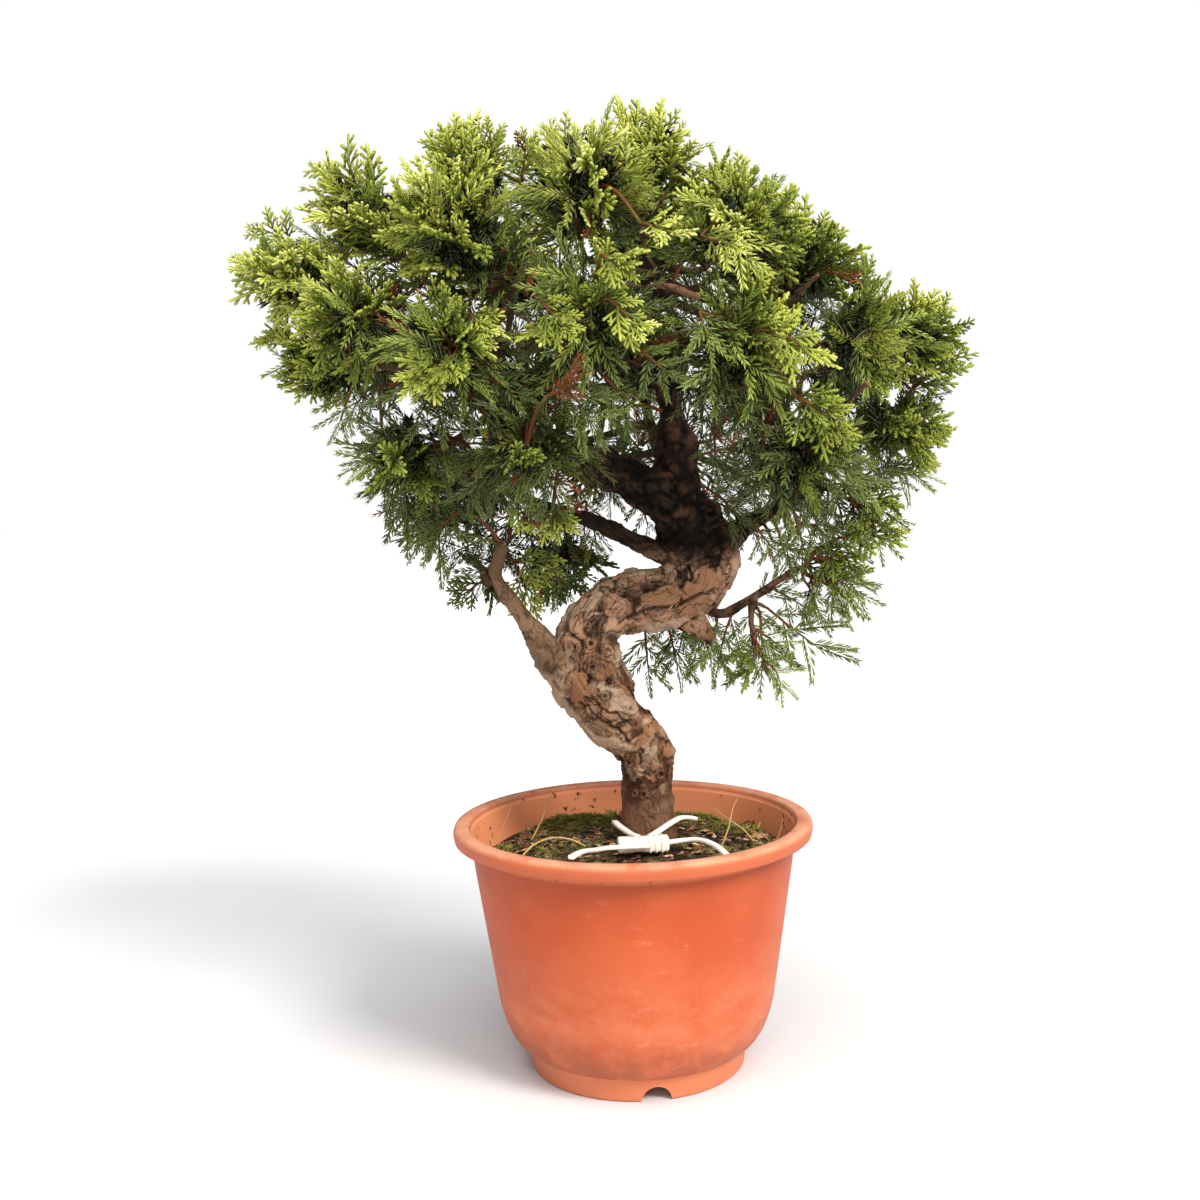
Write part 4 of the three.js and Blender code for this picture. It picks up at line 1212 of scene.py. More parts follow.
# Painted shade over the limbs inside the crown, from 246 mm up: nearly black, with raised plates
# painted lighter as painted light, and darker cracks.
in_shade = coated("#060301", ("#4a2b1b", (rise, -1.4, 1.8), (plate, 0.0, 1.0, 0.35, 1.0)),
                  ("#050302", crack))
painted(coated(bark_colour, (in_shade, (height, 0.246, 0.262), (thick, 1.2, 3.0),
                             less(bare), 0.95), ("#cdb991", cut_face)))
relief(fibres, 0.8, 1.1)
relief(masked(flake_shade, (flake_edge, 0.0, 0.16), flaking), 1.1)
relief(spots(1.3, 5, rough=0.7), 0.8, 1.2)
piece_of("barked_trunk_and_branches", tree_made, bark_finish, "juniper_bark",
         "trunk_and_branches")

# %% [markdown]
# ## Foliage
#
# An itoigawa juniper has two kinds of leaves. Adult shoots are cords: tiny scale leaves
# lie on each other round the stem, so the shoot looks like a knobbly, forked coral with
# blunt tips. Young shoots are feathers of short needles. Both are built once as small
# flat twiglets with a few dozen faces, and set along curved sprays by the thousand.
#
# Particles and instances would be lost when the model is exported, so every copy is
# written into its clump's own mesh, by arrays.

# %% A cord of scale leaves, and a needle
BLUNT_TIP = 0.9
SLIVER_FACES = np.array([[0, 1, 3], [1, 2, 3], [2, 0, 3], [0, 2, 1]])


def leaf_values(youth_and_light, scales, needle, wood=0.0, tone=1.0):
    """What the foliage's finish reads at each point."""
    each = np.ones(len(youth_and_light))
    return {"youth_and_light": youth_and_light, "scales": scales, "needle": needle * each, "wood": wood * each,
            "tone": tone * each}


def leaf_cord(start, heading, length, radius, lift, sides, youth_and_light, stout=False):
    """A rod closed by a blunt cone. A stout one is thin at its root and thickest in its
    middle. The young value grows along it."""
    last = 1 - BLUNT_TIP * radius / length
    shares = np.array([0.0, 0.42, last] if stout else [0.0, last])
    swell = np.array([0.80, 1.0, 0.93] if stout else [0.86, 1.0])
    ahead = np.array([math.cos(heading), math.sin(heading), lift])
    across = [-math.sin(heading), math.cos(heading), 0.0]
    angle = (np.arange(sides) + 0.5) / sides * 2 * np.pi
    ring = np.stack([np.cos(angle), np.sin(angle)], -1)
    middle = start + shares[:, None] * length * ahead
    rings = middle[:, None] + radius * swell[:, None, None] * (ring @ [across, [0, 0, 1.0]])
    j, count = np.arange(sides), len(shares)
    end = (count - 1) * sides
    tip = np.stack([end + j, end + (j + 1) % sides, np.full(sides, count * sides)], -1)
    places = np.append(np.repeat(shares, sides), 1.0)
    around = np.vstack([np.tile(ring, (count, 1)), [0, 0]])
    return shape_of(
        np.vstack([rings.reshape(-1, 3), start + length * ahead]),
        [quads_of(count, sides), tip, j[None, ::-1]],
        leaf_values(youth_and_light[0] + (youth_and_light[1] - youth_and_light[0]) * places**2,
                    np.column_stack([places * length, around]), 0))


def leaf_needle(start, ahead, across, length, width):
    """A kite with a raised midrib, four faces: root, tip, and two edges lower down."""
    down = np.cross(ahead, across)
    side = start + 0.36 * length * ahead - 0.22 * width * down * np.sign(down[2] + 1e-6)
    points = np.array([start, start + length * ahead, side + across * width / 2,
                       side - across * width / 2])
    faces = np.array([[0, 2, 1], [1, 3, 0], [3, 2, 0], [2, 3, 1]])
    if np.linalg.det(points[1:] - points[0]) < 0:
        faces = faces[:, ::-1]
    scales = np.array([[0, 0, 1], [length, 0, 1], [2, 1, -1], [2, -1, -1.0]])
    youth_and_light = np.array([0.5, 0.95, 0.725, 0.725])
    return shape_of(points, [faces], leaf_values(youth_and_light, scales, 1), smooth=False)


# %% Twiglets, drawn flat with their stem along x
CORD_RADIUS = 1.05
NEEDLE_WIDTH = 1.1
TWIGLET_LENGTH = 23.0
SEED = 20


def scale_twiglet(rng, forks):
    """A main cord with side cords on either side in turn, shorter towards the tip. The
    longer side cords are forked again."""
    length = TWIGLET_LENGTH * rng.uniform(0.93, 1.07)
    parts = [leaf_cord([0, 0, 0], 0.0, length, CORD_RADIUS, 0.0, 4, (0.30, 1.15), True)]
    for i in range(forks):
        share = i / forks
        at = np.array([length * (0.09 + 0.78 * share) + rng.uniform(-0.4, 0.4), 0, 0])
        long = (10.0 - 5.4 * share) * rng.uniform(0.85, 1.15)
        heading = (1 if i % 2 else -1) * rng.uniform(0.58, 0.86)
        lift = rng.uniform(-0.22, 0.22)
        radius = CORD_RADIUS * rng.uniform(0.88, 0.98)
        parts.append(leaf_cord(at, heading, long, radius, lift, 3, (0.34 + 0.2 * share, 1.15)))
        if share < 0.62:
            ahead = np.array([math.cos(heading), math.sin(heading), lift])
            turn = rng.choice([-1, 1]) * rng.uniform(0.6, 0.8)
            parts.append(leaf_cord(at + 0.42 * long * ahead, heading + turn, 0.52 * long,
                                   0.92 * radius, -lift, 3, (0.5, 1.15)))
    return joined(parts)


def needle_twiglet(rng, nodes, width=NEEDLE_WIDTH, stretch=1.0):
    """A thin stem with a pair of needles at each node. The pairs turn round the stem in
    steps of a third, and are shorter towards the tip."""
    length = TWIGLET_LENGTH * rng.uniform(1.0, 1.15)
    parts = [leaf_cord([0, 0, 0], 0.0, length * 0.95, 0.5, 0.0, 3, (0.1, 0.7))]
    for i in range(nodes):
        share = i / nodes
        at = length * (0.04 + 0.90 * share)
        long = stretch * (6.4 - 2.6 * share**1.5) * rng.uniform(0.9, 1.1)
        turn = (0.0, 0.7, -0.7)[i % 3] + rng.uniform(-0.2, 0.2)
        lean = rng.uniform(0.52, 0.72) - 0.22 * share
        for hand in (-1, 1):
            out = hand * np.array([0.0, math.cos(turn), math.sin(turn)])
            ahead = np.array([math.cos(lean), 0, 0]) + math.sin(lean) * out
            across = unit(np.cross([0.05, -math.sin(turn), math.cos(turn)], ahead))
            parts.append(leaf_needle([at, 0, 0] + 0.3 * out, ahead, across, long, width))
    return joined(parts)


shaping = np.random.default_rng(SEED)
scale_kinds = [scale_twiglet(shaping, forks) for forks in (8, 7, 8, 7)]
needle_kinds = [needle_twiglet(shaping, nodes) for nodes in (14, 13, 14)]
core_kinds = [needle_twiglet(shaping, nodes, 2.5, 1.6) for nodes in (7, 8)]
print("points of a scale twiglet:", len(scale_kinds[1]["points"]),
      "and of a needle twiglet:", len(needle_kinds[1]["points"]))

# %% [markdown]
# A spray is a curved stem with twiglets on both sides in turn and one at its end. A clump
# is a fan of sprays. Each leaves the clump's stem, or the last stretch of its twig, sets
# out along it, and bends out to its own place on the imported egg. The places are spread by
# the golden angle, so they fill the egg evenly. Where the egg faces another one inside
# the crown, its sprays reach further and close the gap.
#
# Other sprays hang out of the clumps one by one, or close gaps between them. Each belongs
# to the clump whose middle is nearest to its tip.

# %% Single sprays
# Kind, root and tip. The kinds are n for needles, s for scales, l for lime young scales,
# d for shaded needles and o for a dead, orange-brown spray.
single_rows = """
    o -31 -112 329 -14 -120 336, n -92 -70 350 -72 -82 310, n -66 -80 333 -49 -90 309,
    n -58 -85 340 -35 -95 326, n -121 -55 340 -131 -62 312, l -72 -95 347 -93 -110 330,
    l -68 -100 351 -72 -116 336, l -33 -105 368 -17 -118 349, s -63 -98 365 -53 -112 350,
    n -31 -90 339 -3 -92 308, n -39 -80 329 -20 -82 299, n -59 -75 318 -52 -80 292,
    n -85 -60 311 -76 -66 289, n -123 -50 313 -105 -52 299, n -31 -70 321 -9 -68 297,
    n -45 -75 316 -34 -75 293, n -66 -55 304 -72 -58 277, n -35 -50 297 -25 -50 271,
    l -55 -45 288 -41 -52 272, l -33 -45 283 -33 -50 268, n -77 -40 281 -96 -42 266,
    l -57 2 255 -29 0 248, l -54 2 250 -44 0 223, n -40 0 252 -27 2 235,
    n -105 -40 308 -100 -38 260, n -91 -35 289 -86 -32 243, n -17 10 276 -13 10 252,
    n 33 -105 362 38 -112 343, s -5 -108 368 13 -118 347, n -9 -85 339 13 -88 317,
    n -16 -80 335 1 -82 309, l 63 -100 354 92 -104 337, l 73 -80 329 100 -86 303,
    l 75 -84 327 96 -92 314, n 41 -55 316 42 -58 289, n 60 -65 318 65 -68 293,
    n 50 -75 329 50 -80 309, n 41 -88 401 62 -98 375, l -7 -108 386 5 -120 377,
    l 10 -95 400 30 -108 391, l 35 -92 395 52 -104 387, n 8 -95 348 29 -100 330,
    n 80 -50 291 75 -52 263, n 87 -55 302 106 -60 281, n 102 -40 295 121 -45 275,
    s 104 2 261 140 -4 266, s 98 2 257 119 -4 241, n 95 3 256 113 0 218, n 104 3 250 122 4 221,
    n 88 4 241 100 2 213, n 69 0 228 110 -8 195, n 66 2 226 67 -2 183, n 61 4 230 63 2 191,
    n 53 6 226 41 6 187, n 45 10 220 37 12 197, n 64 4 232 86 2 244, n 74 3 236 98 0 222,
    n 89 0 281 102 -2 252, n 85 2 272 92 2 241, n 76 6 266 82 6 244, n 66 8 267 79 8 250,
    n 9 30 218 11 28 179, n 21 30 216 28 28 183, n 37 24 218 46 24 186, d -6 30 334 -27 30 324,
    d 10 40 339 -12 40 319, d -1 50 328 17 50 311, d -17 40 319 -33 45 298,
    d 41 50 323 63 50 312, d 46 50 305 60 52 279, d 36 40 343 60 42 332, d 42 60 334 42 60 301,
    d 61 40 312 72 40 285, d -70 20 385 -90 20 401, d -95 0 385 -116 0 399,
    d -106 10 385 -109 10 363, d -44 0 406 -35 0 386, d -45 0 372 -39 0 352,
    d 34 -10 399 45 -10 379, d 91 0 363 98 0 342, d 96 20 335 105 20 313, d 137 5 337 157 3 323,
    d 21 60 371 42 60 360, d -31 50 367 -52 50 372, d -57 28 273 -88 25 255,
    d -41 28 275 -66 23 250, d 89 10 354 103 16 386, d -69 10 317 -104 10 324,
    d 86 28 266 121 23 266, d 26 28 304 58 23 318, d 113 10 287 142 4 303,
    d 19 28 299 -6 22 324, d -98 10 390 -124 9 412, d 38 28 377 29 26 411, d 31 10 311 36 8 345,
    d -127 28 397 -153 30 421, d -88 28 389 -122 26 377, d 74 10 260 107 15 246,
    d 30 28 302 59 32 281, d -29 10 390 -28 15 424, d 19 10 365 48 7 382,
    d -123 28 320 -125 30 355, d 130 10 341 164 10 336, d -51 10 352 -52 12 387,
    d -46 28 278 -81 27 269, d 39 10 304 74 13 308, d 103 28 307 137 33 293,
    d 100 28 328 134 24 319, d -5 10 328 -37 14 342, d -51 28 414 -59 29 448,
    d 26 10 363 9 16 394, d 38 10 283 69 9 267, d -28 28 274 -58 33 253,
    s -110 6 430 -150 4 456, s -83 6 434 -76 4 474, s -57 6 444 -63 4 472,
    s -46 6 439 -42 4 465, s -161 6 394 -192 4 406, s -156 6 412 -182 4 424,
    s -158 6 366 -182 4 369, s 84 6 388 107 4 416, s 110 6 371 127 4 398, s 125 6 360 155 4 377,
    s 140 6 331 171 4 354, n 133 26 295 163 23 290, d 8 26 287 14 30 257,
    d -19 12 283 -22 13 253, n -138 26 412 -165 25 424, n -122 12 345 -144 17 323,
    d -80 26 329 -109 20 324, d 54 12 276 77 12 256, d 97 26 394 114 30 369,
    d -70 12 265 -98 10 254, n 126 26 303 149 25 283, d 41 12 288 64 10 269,
    d 104 26 285 101 26 255, d 10 26 310 19 28 339, d -54 26 252 -83 31 263,
    d 100 26 249 127 25 263
"""
single_rows = [row.split() for row in single_rows.split(",")]
single_kinds = np.array([kind for kind, *_ in single_rows])
single_ends = np.array([ends for _, *ends in single_rows], float).reshape(-1, 2, 3)
middles = np.array([clump["middle"] for clump in clumps.values()])
owners = np.linalg.norm(single_ends[:, 1:] - middles, axis=-1).argmin(1)
print("single sprays:", len(single_kinds), "at", len(set(owners)), "clumps")

# %% Where the sprays of a clump begin and end
GOLDEN_ANGLE = math.pi * (3 - math.sqrt(5))
SPRAYS_IN_FULL_CLUMP = 16
TWIGLETS_ON_SPRAY = 5
FULL_CLUMP = 29.0 * 29.0 * 24.0
CROWN_MIDDLE = np.array([-5.0, 0.0, 335.0])
CROWN_HALF = np.array([178.0, 126.0, 140.0])
AXIS_SHARE = 0.60
SPRAY_STEPS = np.append(np.linspace(0.14, 0.90, TWIGLETS_ON_SPRAY), 1.0)


def crown_share(points):
    """How far out in the crown a place is: 0 in its middle, 1 on its skin."""
    return np.sqrt((((points - CROWN_MIDDLE) / CROWN_HALF) ** 2).sum(-1))


def points_on_stem(name, places):
    """Points on the clump's stem, so far past its middle; behind its inner end they lie
    on the twig."""
    clump = clumps[name]
    twig = smooth_path(twig_route(name)[:, :3], 60)
    line = np.vstack([twig[:-1], [clump["inner"], clump["middle"], clump["outer"]]])
    even = distance_along(line)
    even = even - even[-2]
    places = np.maximum(places, even[0] * 0.8)
    return np.stack([np.interp(places, even, axis) for axis in line.T], -1)


def spray_ends(name, rng):
    """Roots on the stem and tips on the egg. The tips' places along the clump are even
    from its outer end to behind its middle, and each turns by the golden angle."""
    clump = clumps[name]
    full = np.prod(clump["half"]) / FULL_CLUMP
    count = int((5 + (SPRAYS_IN_FULL_CLUMP - 5) * full) * clump_table[name][3])
    y = 1 - (np.arange(count) + 0.35) / count * 1.45
    flat = np.sqrt(np.clip(1 - y**2, 0, 1))
    turn = np.arange(count) * GOLDEN_ANGLE + rng.uniform(0, 6.28)
    egg = clump["half"] * np.stack([flat * np.cos(turn) * (1 + 0.2 * y), y,
                                    flat * np.sin(turn) * (1 + 0.2 * y)], -1)
    outer = crown_share(clump["middle"] + egg @ clump["basis"])
    reach = (1.40 - 0.40 * ease(outer, 0.6, 0.92)) * rng.uniform(0.84, 1.12, count)
    tips = clump["middle"] + (egg * reach[:, None]) @ clump["basis"]
    behind = (24 + 12 * np.clip(y, 0, 1)) * min(1.0, full**0.33)
    behind = behind * rng.uniform(0.85, 1.15, count)
    return points_on_stem(name, egg[:, 1] * reach - behind), tips


def spray_lines(roots, tips, bow, steps):
    """Quadratic curves from root to tip; the bow pulls the middle of each one aside, so
    that it sets out along the clump's stem and then turns out."""
    span = np.linalg.norm(tips - roots, axis=1, keepdims=True)
    middle = roots + 0.5 * (tips - roots) + bow * span
    t = steps[None, :, None]
    line = ((1 - t) ** 2 * roots[:, None] + 2 * t * (1 - t) * middle[:, None]
            + t**2 * tips[:, None])
    ahead = unit(2 * (1 - t) * (middle - roots)[:, None] + 2 * t * (tips - middle)[:, None])
    return line, ahead


# %% Axes and ages of the twiglets
LEAST_YOUNG = {"l": 0.52, "s": 0.38, "n": 0.24}


def side_axes(ahead, face, rng):
    """Axes of the twiglets: each leans out of the spray's line, to its two sides in turn,
    and rolls a little. The last one carries straight on."""
    side = np.cross(face, ahead)
    shape = ahead.shape[:2]
    hand = np.append((-1.0) ** np.arange(TWIGLETS_ON_SPRAY), 0.0)
    lean = (0.86 - 0.30 * SPRAY_STEPS) * hand + rng.normal(0, 0.11, shape)
    lift = rng.normal(0, 0.18, (*shape, 1))
    x_axis = unit(ahead * np.cos(lean)[..., None] + side * np.sin(lean)[..., None]
                  + face * lift)
    z_axis = face + rng.normal(0, 0.35, (*shape, 1)) * side
    z_axis = unit(z_axis - x_axis * (z_axis * x_axis).sum(-1, keepdims=True))
    return np.stack([x_axis, np.cross(z_axis, x_axis), z_axis], -2)


def leaf_ages(line, face, kinds, rng):
    """How young and how lit, how dull and how dead each twiglet is. Youth grows along each
    spray. Towards the skin of the crown the value grows as youth and painted light, and
    upwards as painted light; low in the crown it shrinks as painted shade. A single spray's
    kind gives its least, raised low in the crown as painted light, and the shaded needles
    are painted nearly black."""
    skin = ease(crown_share(line), 0.52, 0.94)
    up = np.clip(face[..., 2] * 0.5 + 0.5, 0, 1)
    fresh = rng.uniform(0, 1, (len(line), 1))
    # Youth and painted light: lighter towards the skin of the crown, more on sprays that face up,
    # and from 350 mm up.
    youth_and_light = (0.02 + 0.44 * skin + 0.26 * skin * up + 0.26 * (fresh > 0.62) * skin
             + 0.27 * ease(line[..., 2], 350.0, 450.0) + rng.normal(0, 0.07, skin.shape))
    youth_and_light = youth_and_light * (0.74 + 0.26 * SPRAY_STEPS)
    # Painted shade: darker low in the crown, below 375 mm.
    youth_and_light = youth_and_light * (0.68 + 0.32 * ease(line[..., 2], 265.0, 375.0))
    least = np.array([LEAST_YOUNG.get(kind, 0.0) for kind in kinds])[:, None]
    # Painted light: single sprays below 310 mm are made lighter.
    least = least * (0.8 + 0.3 * SPRAY_STEPS) * (1.5 - 0.5 * ease(line[..., 2], 280.0, 310.0))
    # Painted shade: the shaded needles are nearly black.
    youth_and_light = np.where((kinds == "d")[:, None], 0.02, np.maximum(youth_and_light, least))
    tone = 0.6 * rng.uniform(0, 1, fresh.shape) + rng.uniform(0, 0.4, skin.shape)
    dead = (rng.uniform(0, 1, skin.shape) < 0.05 * (1 - skin)) | (kinds == "o")[:, None]
    return {"youth_and_light": np.clip(youth_and_light, 0.04, 1), "tone": tone, "dead": dead * 1.0}


# %% All the twiglets of a clump
def set_twiglets(name, rng):
    """The twiglets of a clump, with their places, axes, kinds and values, and then its
    sprays, with their roots, ends, bow and which of them are single ones."""
    clump, mine = clumps[name], owners == list(clumps).index(name)
    roots, tips = spray_ends(name, rng)
    kinds = np.append([""] * len(roots), single_kinds[mine])
    roots = np.vstack([roots, single_ends[mine, 0]])
    tips = np.vstack([tips, single_ends[mine, 1]])
    count, single = len(roots), kinds != ""
    alone = single[:, None]
    is_scaly = (rng.uniform(0, 1, count) < clump_table[name][2])[:, None] & (
        SPRAY_STEPS[None] > rng.uniform(-0.1, 0.35, (count, 1)))
    is_scaly = np.where(alone, np.isin(kinds, ["s", "l"])[:, None], is_scaly)
    sag = np.where(is_scaly[:, -1], 0.03, -0.08) + 0.10 * (clump["middle"][2] - 340) / 100
    sag = np.where(single, -0.06, sag)
    lead = np.where(alone, 0.0, 0.14 * clump["along"])
    bow = lead - sag[:, None] * [0, 0, 1.0] + rng.normal(0, 0.06, (count, 3))
    ends = roots + AXIS_SHARE * (tips - roots)
    line, ahead = spray_lines(roots, ends, bow, SPRAY_STEPS)
    outward = unit(clump["middle"] - CROWN_MIDDLE)
    face = rng.normal(0, 0.7, (count, 3)) + 0.5 * outward + [0, -0.25, 0.35]
    face = np.where(alone, 0.4 * face + [0, -1.0, 0.25], face)
    face = unit(face)[:, None] * np.ones_like(line)
    face = unit(face - ahead * (face * ahead).sum(-1, keepdims=True))
    axes = side_axes(ahead, face, rng)
    span = np.clip(np.linalg.norm(tips - roots, axis=1) / 40.0, 0.68, 1.12)[:, None]
    size = (0.66 + 0.32 * np.sin(np.pi * SPRAY_STEPS ** 0.8)) * span
    size = size * rng.uniform(0.86, 1.14, is_scaly.shape)
    size[:, -1] = np.linalg.norm(tips - ends, axis=1) / TWIGLET_LENGTH
    axes = axes * np.clip(size, 0.5, 1.1)[..., None, None]
    values = leaf_ages(line, face, kinds, rng)
    return line, axes, is_scaly, values, (roots, ends, bow, single)


# %% The dark core of a clump, and its stems
CORE_TWIGLETS = 30
tree_lines = np.vstack(
    [smooth_path(route[:, :3], 80) for route in limb_routes.values()]
    + [twig_route(name)[:, :3] for name in clumps]
    + [[clump["inner"], clump["middle"]] for clump in clumps.values()])


def core_shape(clump, rng):
    """Broad shaded twiglets at random places in the inner half of the egg, each pointing
    away from its middle. They close the view through the crown."""
    count = int(CORE_TWIGLETS * np.prod(clump["half"]) / FULL_CLUMP) + 4
    count = int(count * (1.0 if crown_share(clump["middle"]) > 0.62 else 1.6))
    out = unit(rng.normal(0, 1, (count, 3)))
    place_in = out * (0.50 * rng.uniform(0, 1, (count, 1)) ** 0.4) * clump["half"]
    x_axis = unit(out @ clump["basis"] + 0.6 * rng.normal(0, 1, (count, 3)))
    z_axis = unit(np.cross(x_axis, rng.normal(0, 1, (count, 3))))
    size = min(1.0, clump["half"][0] / 29.0)
    axes = np.stack([x_axis, np.cross(z_axis, x_axis), z_axis], 1)
    axes = axes * size * rng.uniform(0.7, 1.0, (count, 1, 1))
    spot = (clump["middle"] - 5.0 * clump["along"] + place_in @ clump["basis"]
            - 11.0 * size * x_axis)
    parts = []
    for kind, template in enumerate(core_kinds):
        own = np.arange(count) % len(core_kinds) == kind
        # Painted shade: the core's twiglets are coloured nearly black.
        parts.append(copies(template, axes[own], spot[own], {
            "youth_and_light": np.full(own.sum(), 0.03), "tone": np.full(own.sum(), 0.6)}))
    return joined(parts)


def stem_shape(path, first, last, wood=1.0):
    """A three-sided stem, thinner from its first radius to its last, brown at its root."""
    shape = tube(path, np.linspace(first, last, len(path)), 3)
    share = np.append(np.repeat(np.linspace(0, 1, len(path)), 3), [0, 1])
    shape["values"] = leaf_values(0.25 * share, np.zeros((len(share), 3)), 0,
                                  wood * (1 - 0.7 * share), 0.5)
    return shape


# %% A whole clump
def clump_shape(name, number):
    """The clump's stem, its sprays' stems, and every twiglet copied to its place."""
    rng = np.random.default_rng([SEED, number])
    clump = clumps[name]
    line, axes, is_scaly, values, (roots, ends, bow, single) = set_twiglets(name, rng)
    stem = (clump["inner"] + np.linspace(0, 1.1, 6)[:, None]
            * (clump["middle"] - clump["inner"]))
    stem[1:-1] += rng.normal(0, 0.8, (4, 3))
    parts = [stem_shape(stem, 1.5, 0.8)]
    stems, _ = spray_lines(roots, ends, bow, np.linspace(0, 1, 6))
    parts += [stem_shape(path, 0.9, 0.45, 0.95) for path in stems]
    for root in roots[single]:
        start = tree_lines[np.linalg.norm(tree_lines - root, axis=1).argmin()]
        bend = (start + root) / 2 + [0, 0, 0.12 * np.linalg.norm(root - start)]
        parts.append(stem_shape(smooth_path([start, bend, root], 7), 1.3, 0.9))
    if clump_table[name][3] == 1:
        parts.append(core_shape(clump, rng))
    which = rng.integers(0, 60, is_scaly.shape)
    for wanted, kinds in ((True, scale_kinds), (False, needle_kinds)):
        for kind, template in enumerate(kinds):
            own = (is_scaly == wanted) & (which % len(kinds) == kind)
            count = own.sum()
            bends = np.column_stack([np.zeros(count), rng.normal(0, 0.006, count),
                                     rng.normal(-0.002, 0.009, count)])
            leaves = copies(template, axes[own], line[own],
                            {key: values[key][own] for key in ("youth_and_light", "tone")}, bends)
            leaves["values"]["wood"] = np.repeat(values["dead"][own], len(template["points"]))
            parts.append(leaves)
    return joined(parts)


# %% [markdown]
# Fresh tips are lime, grown leaves mid green, and the needles inside dark green with a
# pale band on their upper face. The value that picks the green also holds painted light
# and shade: lighter towards the skin of the crown, on sprays that face up and high in the
# crown, darker low down, and nearly black in the shaded sprays and the cores. Scale leaves
# show as small light chevrons along a cord: they are drawn 1.6 mm apart, a bit coarser
# than life, so that they show. The leaf is waxy, so it has a soft gloss.

# %% Finish of the foliage
SCALE_PITCH = 1.6
leaf_finish = new_finish("waxy_juniper_leaf", Roughness=0.5, IOR=1.42,
                         Specular_IOR_Level=0.32)
youth_and_light, tone, needle, wood = stored("youth_and_light", "tone", "needle", "wood")
scales = add_node("Attribute", {"attribute_name": "scales"})["Vector"]
along, across, upward = add_node("SeparateXYZ", inputs={"Vector": scales})
green = add_node("ValToRGB", inputs={"Fac": youth_and_light}, stops=[
    (0.0, "#070b04"), (0.12, "#202d0d"), (0.28, "#566822"), (0.46, "#929f3a"),
    (0.70, "#bdc551"), (0.95, "#eff292")])[0]
phase = add_node("Math", {"operation": "ADD"}, {
    0: masked(along, 2 * math.pi / SCALE_PITCH), 1: masked(across, upward, 5.0)})[0]
wave = add_node("Math", {"operation": "SINE"}, {0: phase})[0]
painted(coated(
    green, ("#2d4a1c", (tone, 0.42, 0.0, 0, 0.35)), ("#9a962f", (tone, 0.62, 1.0, 0, 0.25)),
    ("#c8d05c", (wave, 0.1, 0.95, 0, 0.30), less(needle)),
    ("#26340a", (wave, -0.4, -1.0, 0, 0.45), less(needle)),
    ("#b4c07c", (upward, 0.2, 0.9, 0, 0.42), needle),
    (coated("#4a230f", ("#94502c", spots(2.0, 3))), wood)))
relief(masked(wave, less(needle)), 0.14, 0.6)

# %% Growing every clump
for number, name in enumerate(clumps):
    piece_of("sprays_" + name, clump_shape(name, number), leaf_finish, "juniper_foliage",
             "foliage_" + name)
print("foliage triangles:", sum(made["sprays_" + name] for name in clumps))

# %% [markdown]
# ## Moss
#
# Moss is a low cushion of thousands of tiny shoots. The cushion follows the soil, and
# small three-leaved stars stand all over it, a few faces each.

# %% Moss cushions: middle, length, width, turn and height
moss_beds = {
    "moss_back_left": [-30, 42, 48, 32, -0.5, 6.0],
    "moss_left": [-66, -2, 20, 10, 1.5, 3.4],
    "moss_back_right": [34, 46, 34, 22, -0.6, 4.0],
    "moss_right": [48, 20, 26, 12, 0.2, 2.2],
}
MOSS_SHOOTS_PER_MM2 = 0.42


def on_bed(bed, u, v):
    """A place on the cushion from a share u of the way out, 0 to 1, at turn v: it rises
    by its height times the root of 1 - u^2, and its edge goes in and out five times."""
    x, y, length, width, turn, height = bed
    lumpy = 1 + 0.12 * np.sin(5 * v + x)
    along = u * np.cos(v) * length / 2 * lumpy
    across = u * np.sin(v) * width / 2 * lumpy
    px = x + along * math.cos(turn) - across * math.sin(turn)
    py = y + along * math.sin(turn) + across * math.cos(turn)
    rise = height * np.sqrt(np.clip(1 - u**2, 0, 1))
    bumps = 0.5 * noise(in_plane(px, py) / 3.5, 131)
    return np.stack([px, py, ground(px, py) + 0.5 + rise + bumps], -1)


def dome_on(bed, rings, sides, innermost, below, value, ragged=0.0):
    """Rings over the bed from its edge in, closed on top and at this height below it."""
    u, v = np.meshgrid(np.linspace(1, innermost, rings), turns(sides), indexing="ij")
    skin = on_bed(bed, u * (1 + ragged * np.sin(9 * v)), v).reshape(-1, 3)
    under = [[bed[0], bed[1], ground(bed[0], bed[1]) + below]]
    top = on_bed(bed, np.zeros(1), np.zeros(1))
    return shape_of(np.vstack([skin, under, top]), tube_faces(rings, sides),
                    {key: np.full(rings * sides + 2, level) for key, level in value.items()})


def moss_stars(spot, rng, size):
    """Three slender leaves lean out from each place: a root edge, a middle and a tip. Of
    the two rows of random turns, the second one turns the leaves."""
    many = len(spot)
    leaf = shape_of([[0, 0.28, 0], [0, -0.28, 0], [0.9, 0, 0.95], [0.25, 0, 0.6]],
                    [SLIVER_FACES], {"tip": np.array([0.1, 0.1, 1.0, 0.5])})
    tall = size * rng.choice([0.8, 1.0, 1.7], many, p=[0.4, 0.4, 0.2])[:, None, None]
    parts = []
    for k in range(3):
        turn = rng.uniform(-0.5, 0.5, (2, many))[1] + k * 2.1 + np.arange(many)
        lean = rng.uniform(0.5, 1.2, (many, 1))
        ahead = in_plane(np.cos(turn), np.sin(turn)) * lean
        up = rng.uniform(0.8, 1.5, (many, 1)) * [0.0, 0.0, 1.0]
        axes = np.stack([ahead, in_plane(-np.sin(turn), np.cos(turn)), up], 1) * tall
        parts.append(copies(leaf, axes, spot))
    return joined(parts)


